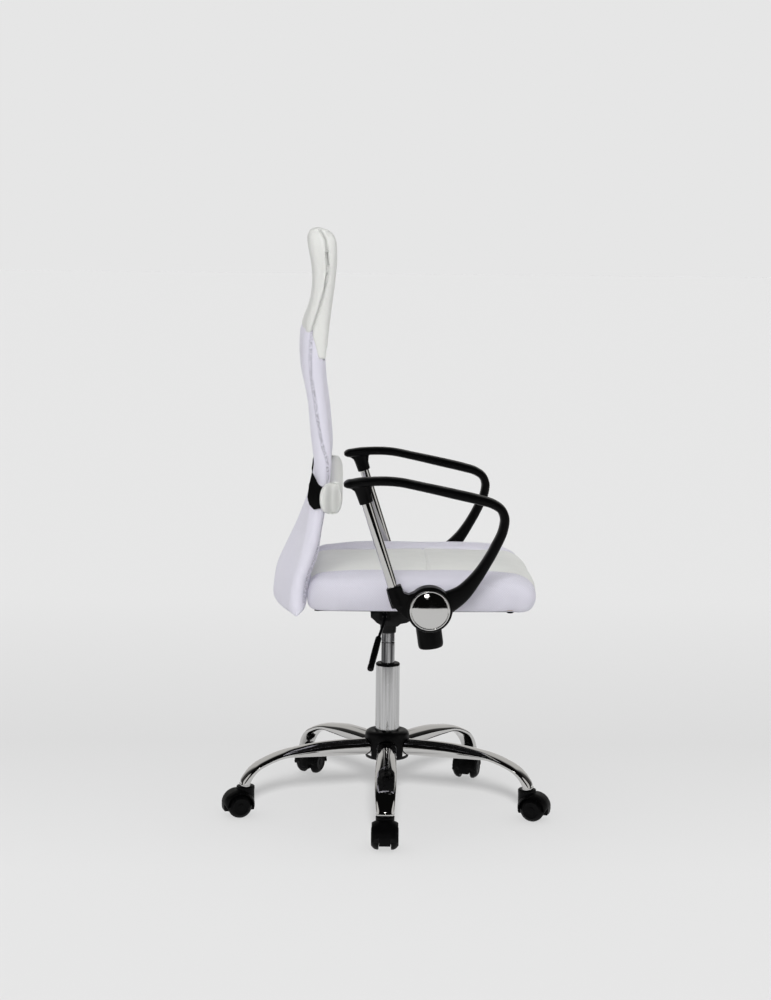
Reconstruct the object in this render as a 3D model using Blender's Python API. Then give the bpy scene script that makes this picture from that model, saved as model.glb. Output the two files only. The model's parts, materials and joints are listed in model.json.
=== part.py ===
"""Swivel office chair: five-star chrome base on twin-wheel casters, gas lift, tilt mechanism,
padded seat, loop armrests and a high mesh back with headrest and lumbar pad.

Metres. +X is the chair's front, +Y its left side, +Z up. The origin is on the floor, on the axis of
the gas lift. Each object is one physical piece; empties stand on the axes of the joints.
"""

import math

import bmesh
import bpy
from mathutils import Matrix, Vector

# ---------------------------------------------------------------- driving dimensions
GAP = 0.0003  # clearance that touching pieces keep

# base
LEGS = 5
LEG_TURN = math.radians(-91.66)  # direction of leg 1, measured from +X towards +Y
STEM_R = 0.3035  # caster stem circle
LEG_END_Z = 0.0645
# one leg from hub to caster: distance from the column axis, height, thickness, width
LEG_STATIONS = (
    (0.030, 0.1290, 0.0330, 0.038),
    (0.100, 0.1290, 0.0330, 0.040),
    (0.150, 0.1285, 0.0285, 0.0425),
    (0.190, 0.1264, 0.0215, 0.0435),
    (0.220, 0.1236, 0.0155, 0.0435),
    (0.257, 0.1120, 0.0140, 0.043),
    (0.283, 0.0980, 0.0148, 0.041),
    (0.299, 0.0800, 0.0180, 0.038),
    (0.3055, LEG_END_Z, 0.0205, 0.036),
)
HUB_COVER_R = 0.046
HUB_SLEEVE_R = (0.0254, 0.036)  # bore and outside
HUB_SLEEVE_Z = (0.111, 0.150)
# half of an opening of the hub cover over a leg: half width, springing height, rise of the arch
ARCH = (0.0208, 0.129, 0.0176)
COVER_RIM_Z = 0.1110  # lower edge of the openings

# casters
WHEEL_R = 0.025
WHEEL_SIDES = 20
CASTER_TRAIL = 0.0155
CASTER_TOP_Z = 0.063
WHEEL_INNER_Y = 0.012
WHEEL_OUTER_Y = 0.0278
STUB_R = 0.004
FENDER_R = 0.0325
COLLAR_R = 0.0185
# heading of each caster's trail from +X towards +Y, leg by leg, as the chair was last rolled
CASTER_HEADINGS = tuple(math.radians(a) for a in (-91.7, -19.7, -107.0, 61.0, 196.3))

# gas lift
TUBE_R = 0.025
TUBE_TOP_Z = 0.2995
BUSH_TOP_Z = 0.3040
PISTON_R = 0.014

# tilt mechanism
TILT_PIN = Vector((0.045, 0.0, 0.428))
TILT_PIN_R = 0.005
HOUSING_HALF_Y = 0.040
HOUSING_TOP_Z = 0.4235
HOUSING_X = (-0.037, 0.122)
REAR_FLOOR_Z = 0.3985  # inside the housing, over the gas lift
FRONT_FLOOR_Z = 0.4055  # inside the housing, over the knob
STEP_X = 0.050
WALL = 0.0025
EAR_GAP = 0.0006
EAR_T = 0.003
SEAT_PLATE_Z = (0.4530, 0.4568)
KNOB_TOP = Vector((0.0828, 0.0, 0.385))
KNOB_LEAN = math.radians(8)  # the knob's lower end leans forward
KNOB_R = 0.0265
BOLT_R = 0.005
SPRING_R = 0.0165  # to the middle of its wire
SPRING_WIRE_R = 0.0016
SPRING_SPAN = (-0.0340, 0.0118)  # along the bolt, from the knob's top
SPRING_TURNS = 5
LEVER_PIVOT = Vector((-0.008, -0.030, 0.4105))
LEVER_ROD_R = 0.003
LEVER_ROUTE = (
    (0.0000, 0.005, 0.4116), (-0.0025, -0.010, 0.4114), (-0.0080, -0.025, 0.4106), (-0.0080, -0.045, 0.4095),
    (-0.0100, -0.075, 0.4055), (-0.0155, -0.112, 0.3960), (-0.0210, -0.141, 0.3860), (-0.0268, -0.160, 0.3700),
)
GRIP_ENDS = (Vector((-0.0218, -0.1430, 0.3850)), Vector((-0.0393, -0.2040, 0.3310)))

# seat
BOARD_Z = (0.4575, 0.4695)
BOARD_X = (-0.1545, 0.2615)
BOARD_HALF_Y = 0.235
BOARD_CORNER_R = 0.030
# the cushion from back to front: x, underside, top, half width
SEAT_STATIONS = (
    (-0.1650, 0.4700, 0.500, 0.222), (-0.1610, 0.4610, 0.513, 0.238), (-0.1480, 0.4565, 0.522, 0.247),
    (-0.1000, 0.4560, 0.529, 0.250), (0.0000, 0.4560, 0.534, 0.250), (0.1200, 0.4560, 0.536, 0.250),
    (0.2100, 0.4555, 0.535, 0.250), (0.2450, 0.4540, 0.530, 0.249), (0.2680, 0.4520, 0.520, 0.246),
    (0.2840, 0.4540, 0.506, 0.239), (0.2945, 0.4630, 0.488, 0.222),
)
# steel angle under an armrest: across, height
ARM_BRACKET = (
    (0.1650, 0.4515), (0.2563, 0.4515), (0.2563, 0.496), (0.2523, 0.496), (0.2523, 0.4555), (0.1650, 0.4555),
)
ARM_BRACKET_X = (0.046, 0.101)

# back
BACK_TUBE_R = 0.0115
BACK_TUBE_Y = 0.222
BACK_BOTTOM_Z = 0.457
BACK_TOP_Z = 1.155
# centre line of the side tubes seen from the side: height, x
BACK_LINE = (
    (0.440, -0.185), (0.483, -0.185), (0.513, -0.181), (0.553, -0.1675), (0.593, -0.156),
    (0.642, -0.147), (0.690, -0.139), (0.743, -0.135), (0.790, -0.1395), (0.850, -0.146),
    (0.930, -0.1555), (0.985, -0.1535), (1.053, -0.1425), (1.100, -0.137), (1.160, -0.140),
)
# how far the middle of the back lies behind its side tubes: height, depth
BACK_BOW = (
    (0.445, 0.038), (0.550, 0.030), (0.613, 0.017), (0.650, 0.009),
    (0.700, 0.004), (0.800, 0.004), (0.930, 0.010), (1.000, 0.012),
)
BACK_STEEPEST = math.radians(20)  # the side tubes' greatest lean from the vertical
MESH_T = 0.003
MESH_Z = (0.464, 0.982)
MESH_STEPS = 12
# the headrest from bottom to top: z, rear x, front x, half width
HEADREST_STATIONS = (
    (0.985, -0.1770, -0.1290, 0.2370), (1.013, -0.1770, -0.1260, 0.2400), (1.053, -0.1660, -0.1205, 0.2400),
    (1.094, -0.1590, -0.1155, 0.2400), (1.130, -0.1620, -0.1125, 0.2400), (1.155, -0.1680, -0.1120, 0.2390),
    (1.175, -0.1700, -0.1150, 0.2360), (1.190, -0.1680, -0.1240, 0.2270), (1.199, -0.1600, -0.1400, 0.2100),
)
CHANNEL_GAP = 0.0006  # round the tubes inside the headrest
UPPER_BAR_R = 0.010
LOWER_BAR_R = 0.011

# armrests, in their own plane at this distance from the middle of the chair
ARM_Y = 0.282
ARM_HUB = Vector((0.0735, ARM_Y, 0.469))
ARM_HUB_R = 0.0445
POST_TOP = Vector((-0.050, ARM_Y, 0.674))
POST_BOTTOM = Vector((0.002, ARM_Y, 0.511))
POST_R = 0.010
POST_SOCKET_DEPTH = 0.018
# the loop's centre line from the pad's rear end to the hub: x, z, thickness, width
ARM_STATIONS = (
    (-0.0950, 0.7090, 0.005, 0.030), (-0.0905, 0.7103, 0.012, 0.041), (-0.0750, 0.7127, 0.0165, 0.046),
    (-0.0345, 0.7165, 0.0170, 0.048), (0.0040, 0.7162, 0.0168, 0.048), (0.0617, 0.7056, 0.0172, 0.047),
    (0.1195, 0.6932, 0.0188, 0.046), (0.1678, 0.6822, 0.0188, 0.044), (0.1935, 0.6745, 0.0180, 0.042),
    (0.2095, 0.6635, 0.0176, 0.040), (0.2162, 0.6465, 0.0184, 0.038), (0.2145, 0.6280, 0.0186, 0.037),
    (0.1985, 0.5895, 0.0196, 0.035), (0.1800, 0.5560, 0.0208, 0.034), (0.1590, 0.5250, 0.0255, 0.034),
    (0.1350, 0.4985, 0.0340, 0.034), (0.0980, 0.4760, 0.0480, 0.034),
)
# outline of the web between the loop's hub and the post's lower socket: x, z
ARM_WEB = (
    (-0.0096, 0.5080), (0.0173, 0.5160), (0.0230, 0.5010), (0.0330, 0.4975), (0.0480, 0.5040),
    (0.0735, 0.5125), (0.0735, 0.4255), (0.0390, 0.4440), (0.0120, 0.4655), (0.0003, 0.4790),
)

# lumbar pad
LUMBAR_Z = 0.679
# half of the bolster from the middle outwards: y, centre x, half depth, half height
LUMBAR_STATIONS = (
    (0.0000, -0.1085, 0.0095, 0.0285), (0.1200, -0.1080, 0.0100, 0.0290), (0.2000, -0.1072, 0.0105, 0.0298),
    (0.2375, -0.1072, 0.0108, 0.0305), (0.2466, -0.1080, 0.0110, 0.0308), (0.2480, -0.1190, 0.0200, 0.0310),
    (0.2560, -0.1190, 0.0195, 0.0295), (0.2620, -0.1185, 0.0155, 0.0240), (0.2655, -0.1180, 0.0090, 0.0150),
)
# outline of the clip beside a tube, and of the hook behind it: x, z
CLIP_OUTLINE = (
    (-0.1560, 0.7300), (-0.1616, 0.7047), (-0.1650, 0.6810), (-0.1610, 0.6656), (-0.1520, 0.6560),
    (-0.1230, 0.6620), (-0.1198, 0.6790), (-0.1280, 0.6935), (-0.1440, 0.7060),
)
CLIP_Y = (0.2382, 0.2463)
HOOK_OUTLINE = ((-0.1640, 0.672), (-0.1600, 0.672), (-0.1600, 0.704), (-0.1622, 0.704))
HOOK_Y = (0.2120, 0.2400)


# ---------------------------------------------------------------- scene helpers
def clear_scene():
    for old in list(bpy.data.objects):
        bpy.data.objects.remove(old, do_unlink=True)


def material(name, colour, roughness, metallic=0.0):
    """A Principled material with the piece's plain colour."""
    mat = bpy.data.materials.new(name)
    mat.use_nodes = True
    shader = mat.node_tree.nodes["Principled BSDF"]
    shader.inputs["Base Color"].default_value = (*colour, 1.0)
    shader.inputs["Roughness"].default_value = roughness
    shader.inputs["Metallic"].default_value = metallic
    mat.diffuse_color = (*colour, 1.0)
    return mat


def empty(name, location, parent=None, turn=0.0):
    """An empty on a joint's axis, turned about Z."""
    axis = bpy.data.objects.new(name, None)
    axis.empty_display_size = 0.03
    axis.location = location
    axis.rotation_euler = (0.0, 0.0, turn)
    axis.parent = parent
    bpy.context.scene.collection.objects.link(axis)
    return axis


def mesh_object(name, bm, mat=None, parent=None, origin=None):
    """Turns a bmesh, drawn in the world or in its parent's frame, into an object with outward faces."""
    bmesh.ops.recalc_face_normals(bm, faces=bm.faces)
    if origin is not None:
        bmesh.ops.translate(bm, verts=bm.verts, vec=-origin)
    mesh = bpy.data.meshes.new(name)
    bm.to_mesh(mesh)
    bm.free()
    mesh.shade_smooth()
    mesh.set_sharp_from_angle(angle=math.radians(35))
    ob = bpy.data.objects.new(name, mesh)
    bpy.context.scene.collection.objects.link(ob)
    if origin is not None:
        ob.location = origin
    if mat is not None:
        mesh.materials.append(mat)
    ob.parent = parent
    return ob


def ride(ob, axis):
    """Parents an object drawn in the world to an empty, keeping it where it is."""
    bpy.context.view_layer.update()
    ob.parent = axis
    ob.matrix_parent_inverse = axis.matrix_world.inverted()


def combine(target, tool, operation):
    """Adds or cuts with a tool object, which stays in the file as a hidden guide."""
    tool.hide_render = True
    tool.display_type = "WIRE"
    step = target.modifiers.new(operation.title(), "BOOLEAN")
    step.operation = operation
    step.solver = "EXACT"
    step.object = tool


# ---------------------------------------------------------------- shapes
def turned(profile, sides, closed=False, phase=0.0):
    """Turns a profile of (radius, z) points about Z. An open profile starts and ends on the axis."""
    bm = bmesh.new()
    rings = []
    for radius, z in profile:
        if radius == 0:
            rings.append([bm.verts.new((0, 0, z))])
            continue
        rings.append([
            bm.verts.new((
                radius * math.cos(math.tau * (i + phase) / sides),
                radius * math.sin(math.tau * (i + phase) / sides),
                z,
            ))
            for i in range(sides)
        ])
    pairs = list(zip(rings, rings[1:]))
    if closed:
        pairs.append((rings[-1], rings[0]))
    for low, high in pairs:
        for i in range(sides):
            j = (i + 1) % sides
            corners = [low[i % len(low)], low[j % len(low)], high[j % len(high)], high[i % len(high)]]
            bm.faces.new(list(dict.fromkeys(corners)))
    return bm


def cylinder(radius, low, high, sides=24):
    return turned(((0, low), (radius, low), (radius, high), (0, high)), sides)


def stand_along(bm, point, direction):
    """Moves a shape drawn about Z so that its axis runs through a point along a direction."""
    turn = Vector((0, 0, 1)).rotation_difference(direction).to_matrix().to_4x4()
    bmesh.ops.transform(bm, matrix=Matrix.Translation(point) @ turn, verts=bm.verts)
    return bm


def prism(outline, low, high, plane="XZ"):
    """Extrudes an outline drawn in a plane between two distances along the plane's normal."""
    bm = bmesh.new()

    def at(point, depth):
        if plane == "XZ":
            return (point[0], depth, point[1])
        if plane == "YZ":
            return (depth, point[0], point[1])
        return (point[0], point[1], depth)

    near = [bm.verts.new(at(p, low)) for p in outline]
    far = [bm.verts.new(at(p, high)) for p in outline]
    bm.faces.new(near)
    bm.faces.new(far)
    for i in range(len(outline)):
        j = (i + 1) % len(outline)
        bm.faces.new((near[i], near[j], far[j], far[i]))
    return bm


def box(x, y, z):
    corners = ((x[0], y[0]), (x[1], y[0]), (x[1], y[1]), (x[0], y[1]))
    return prism(corners, z[0], z[1], plane="XY")


def lofted(rings):
    """Skins a list of rings with the same number of points and caps both ends."""
    bm = bmesh.new()
    verts = [[bm.verts.new(p) for p in ring] for ring in rings]
    for low, high in zip(verts, verts[1:]):
        for i in range(len(low)):
            j = (i + 1) % len(low)
            bm.faces.new((low[i], low[j], high[j], high[i]))
    bm.faces.new(verts[0])
    bm.faces.new(verts[-1])
    return bm


def superellipse(half_u, half_v, power, count):
    """Points of a rounded rectangle about the origin; a higher power has squarer corners."""
    points = []
    for i in range(count):
        angle = math.tau * (i + 0.5) / count
        c, s = math.cos(angle), math.sin(angle)
        u = math.copysign(abs(c) ** (2 / power), c) * half_u
        v = math.copysign(abs(s) ** (2 / power), s) * half_v
        points.append((u, v))
    return points


def swept(stations, power, count, last_normal=None):
    """Lofts rounded sections along a line in the XZ plane. Each station is x, z, thickness, width."""
    rings = []
    for i, (x, z, thick, width) in enumerate(stations):
        before = stations[max(i - 1, 0)]
        after = stations[min(i + 1, len(stations) - 1)]
        along = Vector((after[0] - before[0], 0, after[1] - before[1])).normalized()
        if last_normal is not None and i == len(stations) - 1:
            along = last_normal
        across = Vector((0, 1, 0))
        up = across.cross(along)
        middle = Vector((x, 0, z))
        rings.append([
            middle + across * u + up * v
            for u, v in superellipse(width / 2, thick / 2, power, count)
        ])
    return lofted(rings)


def between(table, at):
    """Reads a smooth value from a table of (position, value) pairs by Catmull-Rom."""
    at = min(max(at, table[0][0]), table[-1][0])
    i = max(k for k in range(len(table) - 1) if table[k][0] <= at)
    (p1, v1), (p2, v2) = table[i], table[i + 1]
    p0, v0 = table[max(i - 1, 0)]
    p3, v3 = table[min(i + 2, len(table) - 1)]
    t = (at - p1) / (p2 - p1)
    m1 = (v2 - v0) / (p2 - p0) * (p2 - p1)
    m2 = (v3 - v1) / (p3 - p1) * (p2 - p1)
    return (
        v1 * (2 * t**3 - 3 * t**2 + 1) + v2 * (3 * t**2 - 2 * t**3)
        + m1 * (t**3 - 2 * t**2 + t) + m2 * (t**3 - t**2)
    )


def tube_along(points, radius, sides, bore=0.0):
    """A round bar, or a tube with an open bore, along a smooth line through points in space."""
    rings = []
    side = None
    for i, point in enumerate(points):
        along = (points[min(i + 1, len(points) - 1)] - points[max(i - 1, 0)]).normalized()
        if side is None:
            side = along.orthogonal().normalized()
        side = (side - along * side.dot(along)).normalized()
        other = along.cross(side)
        rings.append([
            point + (side * math.cos(a) + other * math.sin(a)) * radius
            for a in (math.tau * k / sides for k in range(sides))
        ])
    if not bore:
        return lofted(rings)
    inner = [
        [p + (c - p) * (1 - bore / radius) for c in ring]
        for p, ring in zip(points, rings)
    ]
    bm = bmesh.new()
    skins = [[[bm.verts.new(p) for p in ring] for ring in group] for group in (rings, inner)]
    for skin in skins:
        for low, high in zip(skin, skin[1:]):
            for k in range(sides):
                j = (k + 1) % sides
                bm.faces.new((low[k], low[j], high[j], high[k]))
    for end in (0, -1):
        for k in range(sides):
            j = (k + 1) % sides
            bm.faces.new((skins[0][end][k], skins[0][end][j], skins[1][end][j], skins[1][end][k]))
    return bm


# ---------------------------------------------------------------- base
def make_base(chrome, black):
    """The five legs welded to the hub sleeve, and the plastic cover over the hub."""
    inner, outer = HUB_SLEEVE_R
    low, high = HUB_SLEEVE_Z
    sleeve = ((inner, low), (outer, low), (outer, high), (inner, high))
    base = mesh_object("star_base", turned(sleeve, 24, closed=True), chrome)
    cover_profile = (
        (0.0256, 0.162), (0.0385, 0.162), (0.0435, 0.1595), (HUB_COVER_R, 0.154), (HUB_COVER_R, 0.110),
        (0.0445, 0.105), (0.0420, 0.105), (0.0420, 0.1520), (0.0400, 0.1560), (0.0256, 0.1580),
    )
    cover = mesh_object("hub_cover", turned(cover_profile, 24, closed=True), black)
    half_width, arch_z, arch_rise = ARCH
    arch = [(-half_width, COVER_RIM_Z)]
    arch += [
        (-half_width * math.cos(math.pi * i / 8), arch_z + arch_rise * math.sin(math.pi * i / 8) ** 0.77)
        for i in range(9)
    ]
    arch += [(half_width, COVER_RIM_Z)]
    for leg in range(LEGS):
        turn = Matrix.Rotation(LEG_TURN + math.tau * leg / LEGS, 4, "Z")
        shape = swept(LEG_STATIONS, power=2.6, count=10, last_normal=Vector((0, 0, -1)))
        bmesh.ops.transform(shape, matrix=turn, verts=shape.verts)
        combine(base, mesh_object(f"leg_guide_{leg + 1}", shape), "UNION")
        opening = prism(arch, 0.032, 0.060, plane="YZ")
        bmesh.ops.transform(opening, matrix=turn, verts=opening.verts)
        combine(cover, mesh_object(f"cover_opening_{leg + 1}", opening), "DIFFERENCE")
    for leg in range(LEGS):
        turn = Matrix.Rotation(LEG_TURN + math.tau * leg / LEGS, 4, "Z")
        socket = cylinder(STUB_R + GAP, 0.05, 0.078, sides=10)
        bmesh.ops.translate(socket, verts=socket.verts, vec=(STEM_R, 0, 0))
        bmesh.ops.transform(socket, matrix=turn, verts=socket.verts)
        combine(base, mesh_object(f"stem_socket_{leg + 1}", socket), "DIFFERENCE")


# ---------------------------------------------------------------- casters
def wheel_mesh():
    """One caster wheel about Z, from its inner face outwards, with a flat of the tread facing down."""
    tread = WHEEL_R / math.cos(math.pi / WHEEL_SIDES)
    inner, outer, bore = WHEEL_INNER_Y, WHEEL_OUTER_Y, STUB_R + GAP
    profile = (
        (0, outer - 0.005), (bore, outer - 0.005), (bore, inner), (tread, inner),
        (tread, inner + 0.0095), (tread - 0.002, outer - 0.0033), (tread - 0.009, outer), (0, outer),
    )
    return turned(profile, WHEEL_SIDES, phase=0.5)


def caster_boolean(tools, target, name, shape, operation):
    """A Boolean step of the caster's body, whose tool goes on a list."""
    tool = mesh_object(name, shape)
    combine(target, tool, operation)
    tools.append(tool)


def hood_mesh(black):
    """The caster's body: a fender over both wheels, a web between them, stub axles and a stem boss."""
    about_axle = Matrix.Translation((CASTER_TRAIL, 0, WHEEL_R)) @ Matrix.Rotation(math.pi / 2, 4, "X")
    edge, edge_r, shoulder = 0.0268, 0.0285, 0.016
    fender = turned((
        (0, -edge), (edge_r, -edge), (FENDER_R, -shoulder), (FENDER_R, shoulder), (edge_r, edge), (0, edge),
    ), 20)
    bmesh.ops.transform(fender, matrix=about_axle, verts=fender.verts)
    hood = mesh_object("hood", fender, black)
    tools = []
    collar = turned((
        (0, 0.024), (COLLAR_R, 0.024), (COLLAR_R, CASTER_TOP_Z - 0.0025),
        (COLLAR_R - 0.002, CASTER_TOP_Z), (0, CASTER_TOP_Z),
    ), 16)
    caster_boolean(tools, hood, "hood_collar", collar, "UNION")
    under = box((-0.05, 0.07), (-0.05, 0.05), (-0.02, 0.016))
    caster_boolean(tools, hood, "hood_under", under, "DIFFERENCE")
    for side in (-1, 1):
        well = cylinder(WHEEL_R + 0.0014, WHEEL_INNER_Y - 0.0005, 0.04, sides=22)
        bmesh.ops.scale(well, vec=(1, 1, side), verts=well.verts)
        bmesh.ops.transform(well, matrix=about_axle, verts=well.verts)
        caster_boolean(tools, hood, f"wheel_well_{side}", well, "DIFFERENCE")
    stub_end = WHEEL_OUTER_Y - 0.0055
    stub = cylinder(STUB_R, -stub_end, stub_end, sides=10)
    bmesh.ops.transform(stub, matrix=about_axle, verts=stub.verts)
    caster_boolean(tools, hood, "stub_axles", stub, "UNION")
    stem_bore = cylinder(STUB_R + GAP, 0.0400, 0.07, sides=10)
    caster_boolean(tools, hood, "stem_bore", stem_bore, "DIFFERENCE")
    bpy.context.view_layer.update()
    graph = bpy.context.evaluated_depsgraph_get()
    mesh = bpy.data.meshes.new_from_object(hood.evaluated_get(graph))
    for used in (hood, *tools):
        bpy.data.objects.remove(used, do_unlink=True)
    return mesh


def shared_mesh(name, bm, mat):
    """A finished mesh that several objects can share."""
    ob = mesh_object(name, bm, mat)
    mesh = ob.data
    bpy.data.objects.remove(ob, do_unlink=True)
    return mesh


def place(name, mesh, axis):
    ob = bpy.data.objects.new(name, mesh)
    bpy.context.scene.collection.objects.link(ob)
    ob.parent = axis
    return ob


def make_casters(black, nylon, steel):
    hood = hood_mesh(black)
    stem = shared_mesh("caster_stem", cylinder(STUB_R, 0.0405, 0.0775, sides=10), steel)
    wheel = shared_mesh("caster_wheel", wheel_mesh(), nylon)
    for leg in range(LEGS):
        direction = LEG_TURN + math.tau * leg / LEGS
        stem_point = (STEM_R * math.cos(direction), STEM_R * math.sin(direction), 0)
        axis = empty(f"caster_axis_{leg + 1}", stem_point, turn=CASTER_HEADINGS[leg])
        place(f"caster_hood_{leg + 1}", hood, axis)
        place(f"caster_stem_{leg + 1}", stem, axis)
        for side, letter in ((1, "left"), (-1, "right")):
            copy = place(f"wheel_{leg + 1}_{letter}", wheel, axis)
            copy.location = (CASTER_TRAIL, 0, WHEEL_R)
            copy.rotation_euler = (-side * math.pi / 2, 0, 0)


# ---------------------------------------------------------------- gas lift
def make_gas_lift(satin, chrome, black, steel, swivel, lift):
    tube = ((0.003, 0.100), (0.0235, 0.100), (TUBE_R, 0.1015), (TUBE_R, TUBE_TOP_Z),
            (0.0225, TUBE_TOP_Z), (0.0225, 0.1031), (0.003, 0.1031))
    mesh_object("gas_outer_tube", turned(tube, 20, closed=True), satin)
    bush = ((0.0143, BUSH_TOP_Z), (0.0235, BUSH_TOP_Z), (TUBE_R, BUSH_TOP_Z - 0.0015),
            (TUBE_R, TUBE_TOP_Z + GAP), (0.0222, TUBE_TOP_Z + GAP), (0.0222, 0.210), (0.0143, 0.210))
    mesh_object("gas_bush", turned(bush, 20, closed=True), black)
    bearing = ((0.0056, 0.1034), (0.011, 0.1034), (0.011, 0.1068), (0.0056, 0.1068))
    ride(mesh_object("thrust_bearing", turned(bearing, 12, closed=True), steel), swivel)
    rod = ((0, 0.1036), (0.005, 0.1036), (0.005, 0.1071), (0.011, 0.1071), (0.011, 0.109),
           (0.005, 0.109), (0.005, 0.290), (0, 0.290))
    ride(mesh_object("piston_rod", turned(rod, 12), steel), swivel)
    cylinder_profile = (
        (0, 0.345), (0.0056, 0.345), (0.0056, 0.165), (0.0125, 0.165), (PISTON_R, 0.1665),
        (PISTON_R, 0.3475), (0.0134, 0.349), (0.0128, 0.400), (0.0043, 0.400), (0.0043, 0.387), (0, 0.387),
    )
    ride(mesh_object("gas_cylinder", turned(cylinder_profile, 20), chrome), lift)
    ride(mesh_object("release_button", cylinder(0.004, 0.3935, 0.408, sides=10), steel), lift)


# ---------------------------------------------------------------- tilt mechanism
def make_housing(black, lift, pin_bore):
    """The pressed steel housing that sits on the gas lift."""
    rear_x, front_x = HOUSING_X
    side_outline = (
        (rear_x, HOUSING_TOP_Z), (rear_x, 0.4060), (-0.0300, 0.4003), (-0.0260, 0.3957),
        (-0.0175, 0.3905), (0.018, 0.387), (0.0245, 0.3925),
        (0.037, 0.395), (STEP_X, FRONT_FLOOR_Z - 0.0035), (front_x, FRONT_FLOOR_Z - 0.0035),
        (front_x, HOUSING_TOP_Z),
    )
    housing = mesh_object(
        "mechanism_housing", prism(side_outline, -HOUSING_HALF_Y, HOUSING_HALF_Y), black)
    inner_y = HOUSING_HALF_Y - WALL
    over = HOUSING_TOP_Z + 0.04
    inside = prism((
        (rear_x + WALL, 0.4090), (-0.0255, REAR_FLOOR_Z), (STEP_X - 0.012, REAR_FLOOR_Z),
        (STEP_X - 0.003, FRONT_FLOOR_Z), (front_x - WALL, FRONT_FLOOR_Z),
        (front_x - WALL, over), (rear_x + WALL, over),
    ), -inner_y, inner_y)
    combine(housing, mesh_object("housing_pocket", inside), "DIFFERENCE")
    pin_x = TILT_PIN.x
    for side in (-1, 1):
        near, far = sorted((side * inner_y, side * HOUSING_HALF_Y))
        ear = prism((
            (pin_x - 0.015, 0.410), (pin_x + 0.015, 0.410), (pin_x + 0.010, 0.438), (pin_x - 0.010, 0.438),
        ), near, far)
        combine(housing, mesh_object(f"housing_ear_{side}", ear), "UNION")
    socket = turned(((0, 0.368), (0.0160, 0.368), (0.0166, 0.384), (0.0200, 0.390), (0, 0.390)), 20)
    combine(housing, mesh_object("column_socket", socket), "UNION")
    bore = turned(((0, 0.36), (0.0137, 0.36), (0.0131, 0.405), (0, 0.405)), 20)
    combine(housing, mesh_object("column_bore", bore), "DIFFERENCE")
    bolt_slot = box((0.072, 0.096), (-0.008, 0.008), (0.38, FRONT_FLOOR_Z + 0.004))
    combine(housing, mesh_object("bolt_slot", bolt_slot), "DIFFERENCE")
    window = box((-0.016, 0.000), (-0.045, -0.035), (0.4025, 0.4170))
    combine(housing, mesh_object("lever_window", window), "DIFFERENCE")
    combine(housing, pin_bore, "DIFFERENCE")
    ride(housing, lift)


def make_seat_plate(black, tilt, pin_bore):
    """The plate that the seat is bolted to, with an ear over each end of the tilt pin and a lock tab."""
    plate = mesh_object("seat_plate", box((-0.075, 0.135), (-0.075, 0.075), SEAT_PLATE_Z), black)
    root = SEAT_PLATE_Z[0] + 0.002
    pin_x = TILT_PIN.x
    for side in (-1, 1):
        ear_y = HOUSING_HALF_Y + EAR_GAP
        near, far = sorted((side * ear_y, side * (ear_y + EAR_T)))
        ear = prism((
            (pin_x - 0.015, root), (pin_x - 0.012, 0.424), (pin_x - 0.007, 0.417),
            (pin_x + 0.007, 0.417), (pin_x + 0.012, 0.424), (pin_x + 0.015, root),
        ), near, far)
        combine(plate, mesh_object(f"plate_ear_{side}", ear), "UNION")
    tab = prism((
        (-0.031, 0.4155), (-0.028, 0.4125), (-0.0165, 0.4125), (-0.0165, root), (-0.031, root),
    ), 0.000, 0.003)
    combine(plate, mesh_object("lock_tab", tab), "UNION")
    tab_slot = box((-0.029, -0.018), (-0.002, 0.005), (0.4155, 0.4205))
    combine(plate, mesh_object("lock_tab_slot", tab_slot), "DIFFERENCE")
    combine(plate, pin_bore, "DIFFERENCE")
    ride(plate, tilt)


def make_mechanism(black, steel, lift, tilt):
    """Housing, tilt pin and seat plate."""
    across = Vector((0, 1, 0))
    pin_bore = stand_along(cylinder(TILT_PIN_R + GAP, -0.06, 0.06, 10), TILT_PIN, across)
    pin_bore = mesh_object("pin_bore", pin_bore)
    make_housing(black, lift, pin_bore)
    half_pin = HOUSING_HALF_Y + EAR_GAP + EAR_T + 0.0029
    pin = stand_along(cylinder(TILT_PIN_R, -half_pin, half_pin, 10), TILT_PIN, across)
    ride(mesh_object("tilt_pin", pin, steel, origin=TILT_PIN), lift)
    make_seat_plate(black, tilt, pin_bore)


def knob_axis():
    """Unit vector up the tension bolt."""
    return Vector((-math.sin(KNOB_LEAN), 0, math.cos(KNOB_LEAN)))


def make_tension_unit(black, steel, lift, tilt, knob_empty):
    """Bolt, spring, thrust washer and hand knob that set how hard the seat leans back."""
    up = knob_axis()
    bolt = stand_along(cylinder(BOLT_R, -0.0455, 0.068, 10), KNOB_TOP, up)
    ride(mesh_object("tension_bolt", bolt, steel), tilt)
    bore, rim, low, high = BOLT_R + 2 * GAP, 0.0215, -0.0382, -0.0362
    washer = turned(((bore, low), (rim, low), (rim, high), (bore, high)), 14, closed=True)
    ride(mesh_object("spring_washer", stand_along(washer, KNOB_TOP, up), steel), knob_empty)
    knob = turned((
        (0, -0.0470), (0.0055, -0.0470), (0.0055, -0.0385), (0.009, -0.0385), (0.009, -0.0420),
        (0.0235, -0.0420), (0.0235, 0.0), (0.0258, 0.0), (KNOB_R, -0.002), (KNOB_R, -0.0425),
        (0.0245, -0.0475), (0.0150, -0.0505), (0, -0.0515),
    ), 18)
    ride(mesh_object("tension_knob", stand_along(knob, KNOB_TOP, up), black), knob_empty)
    make_spring(steel, lift, up)


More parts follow.
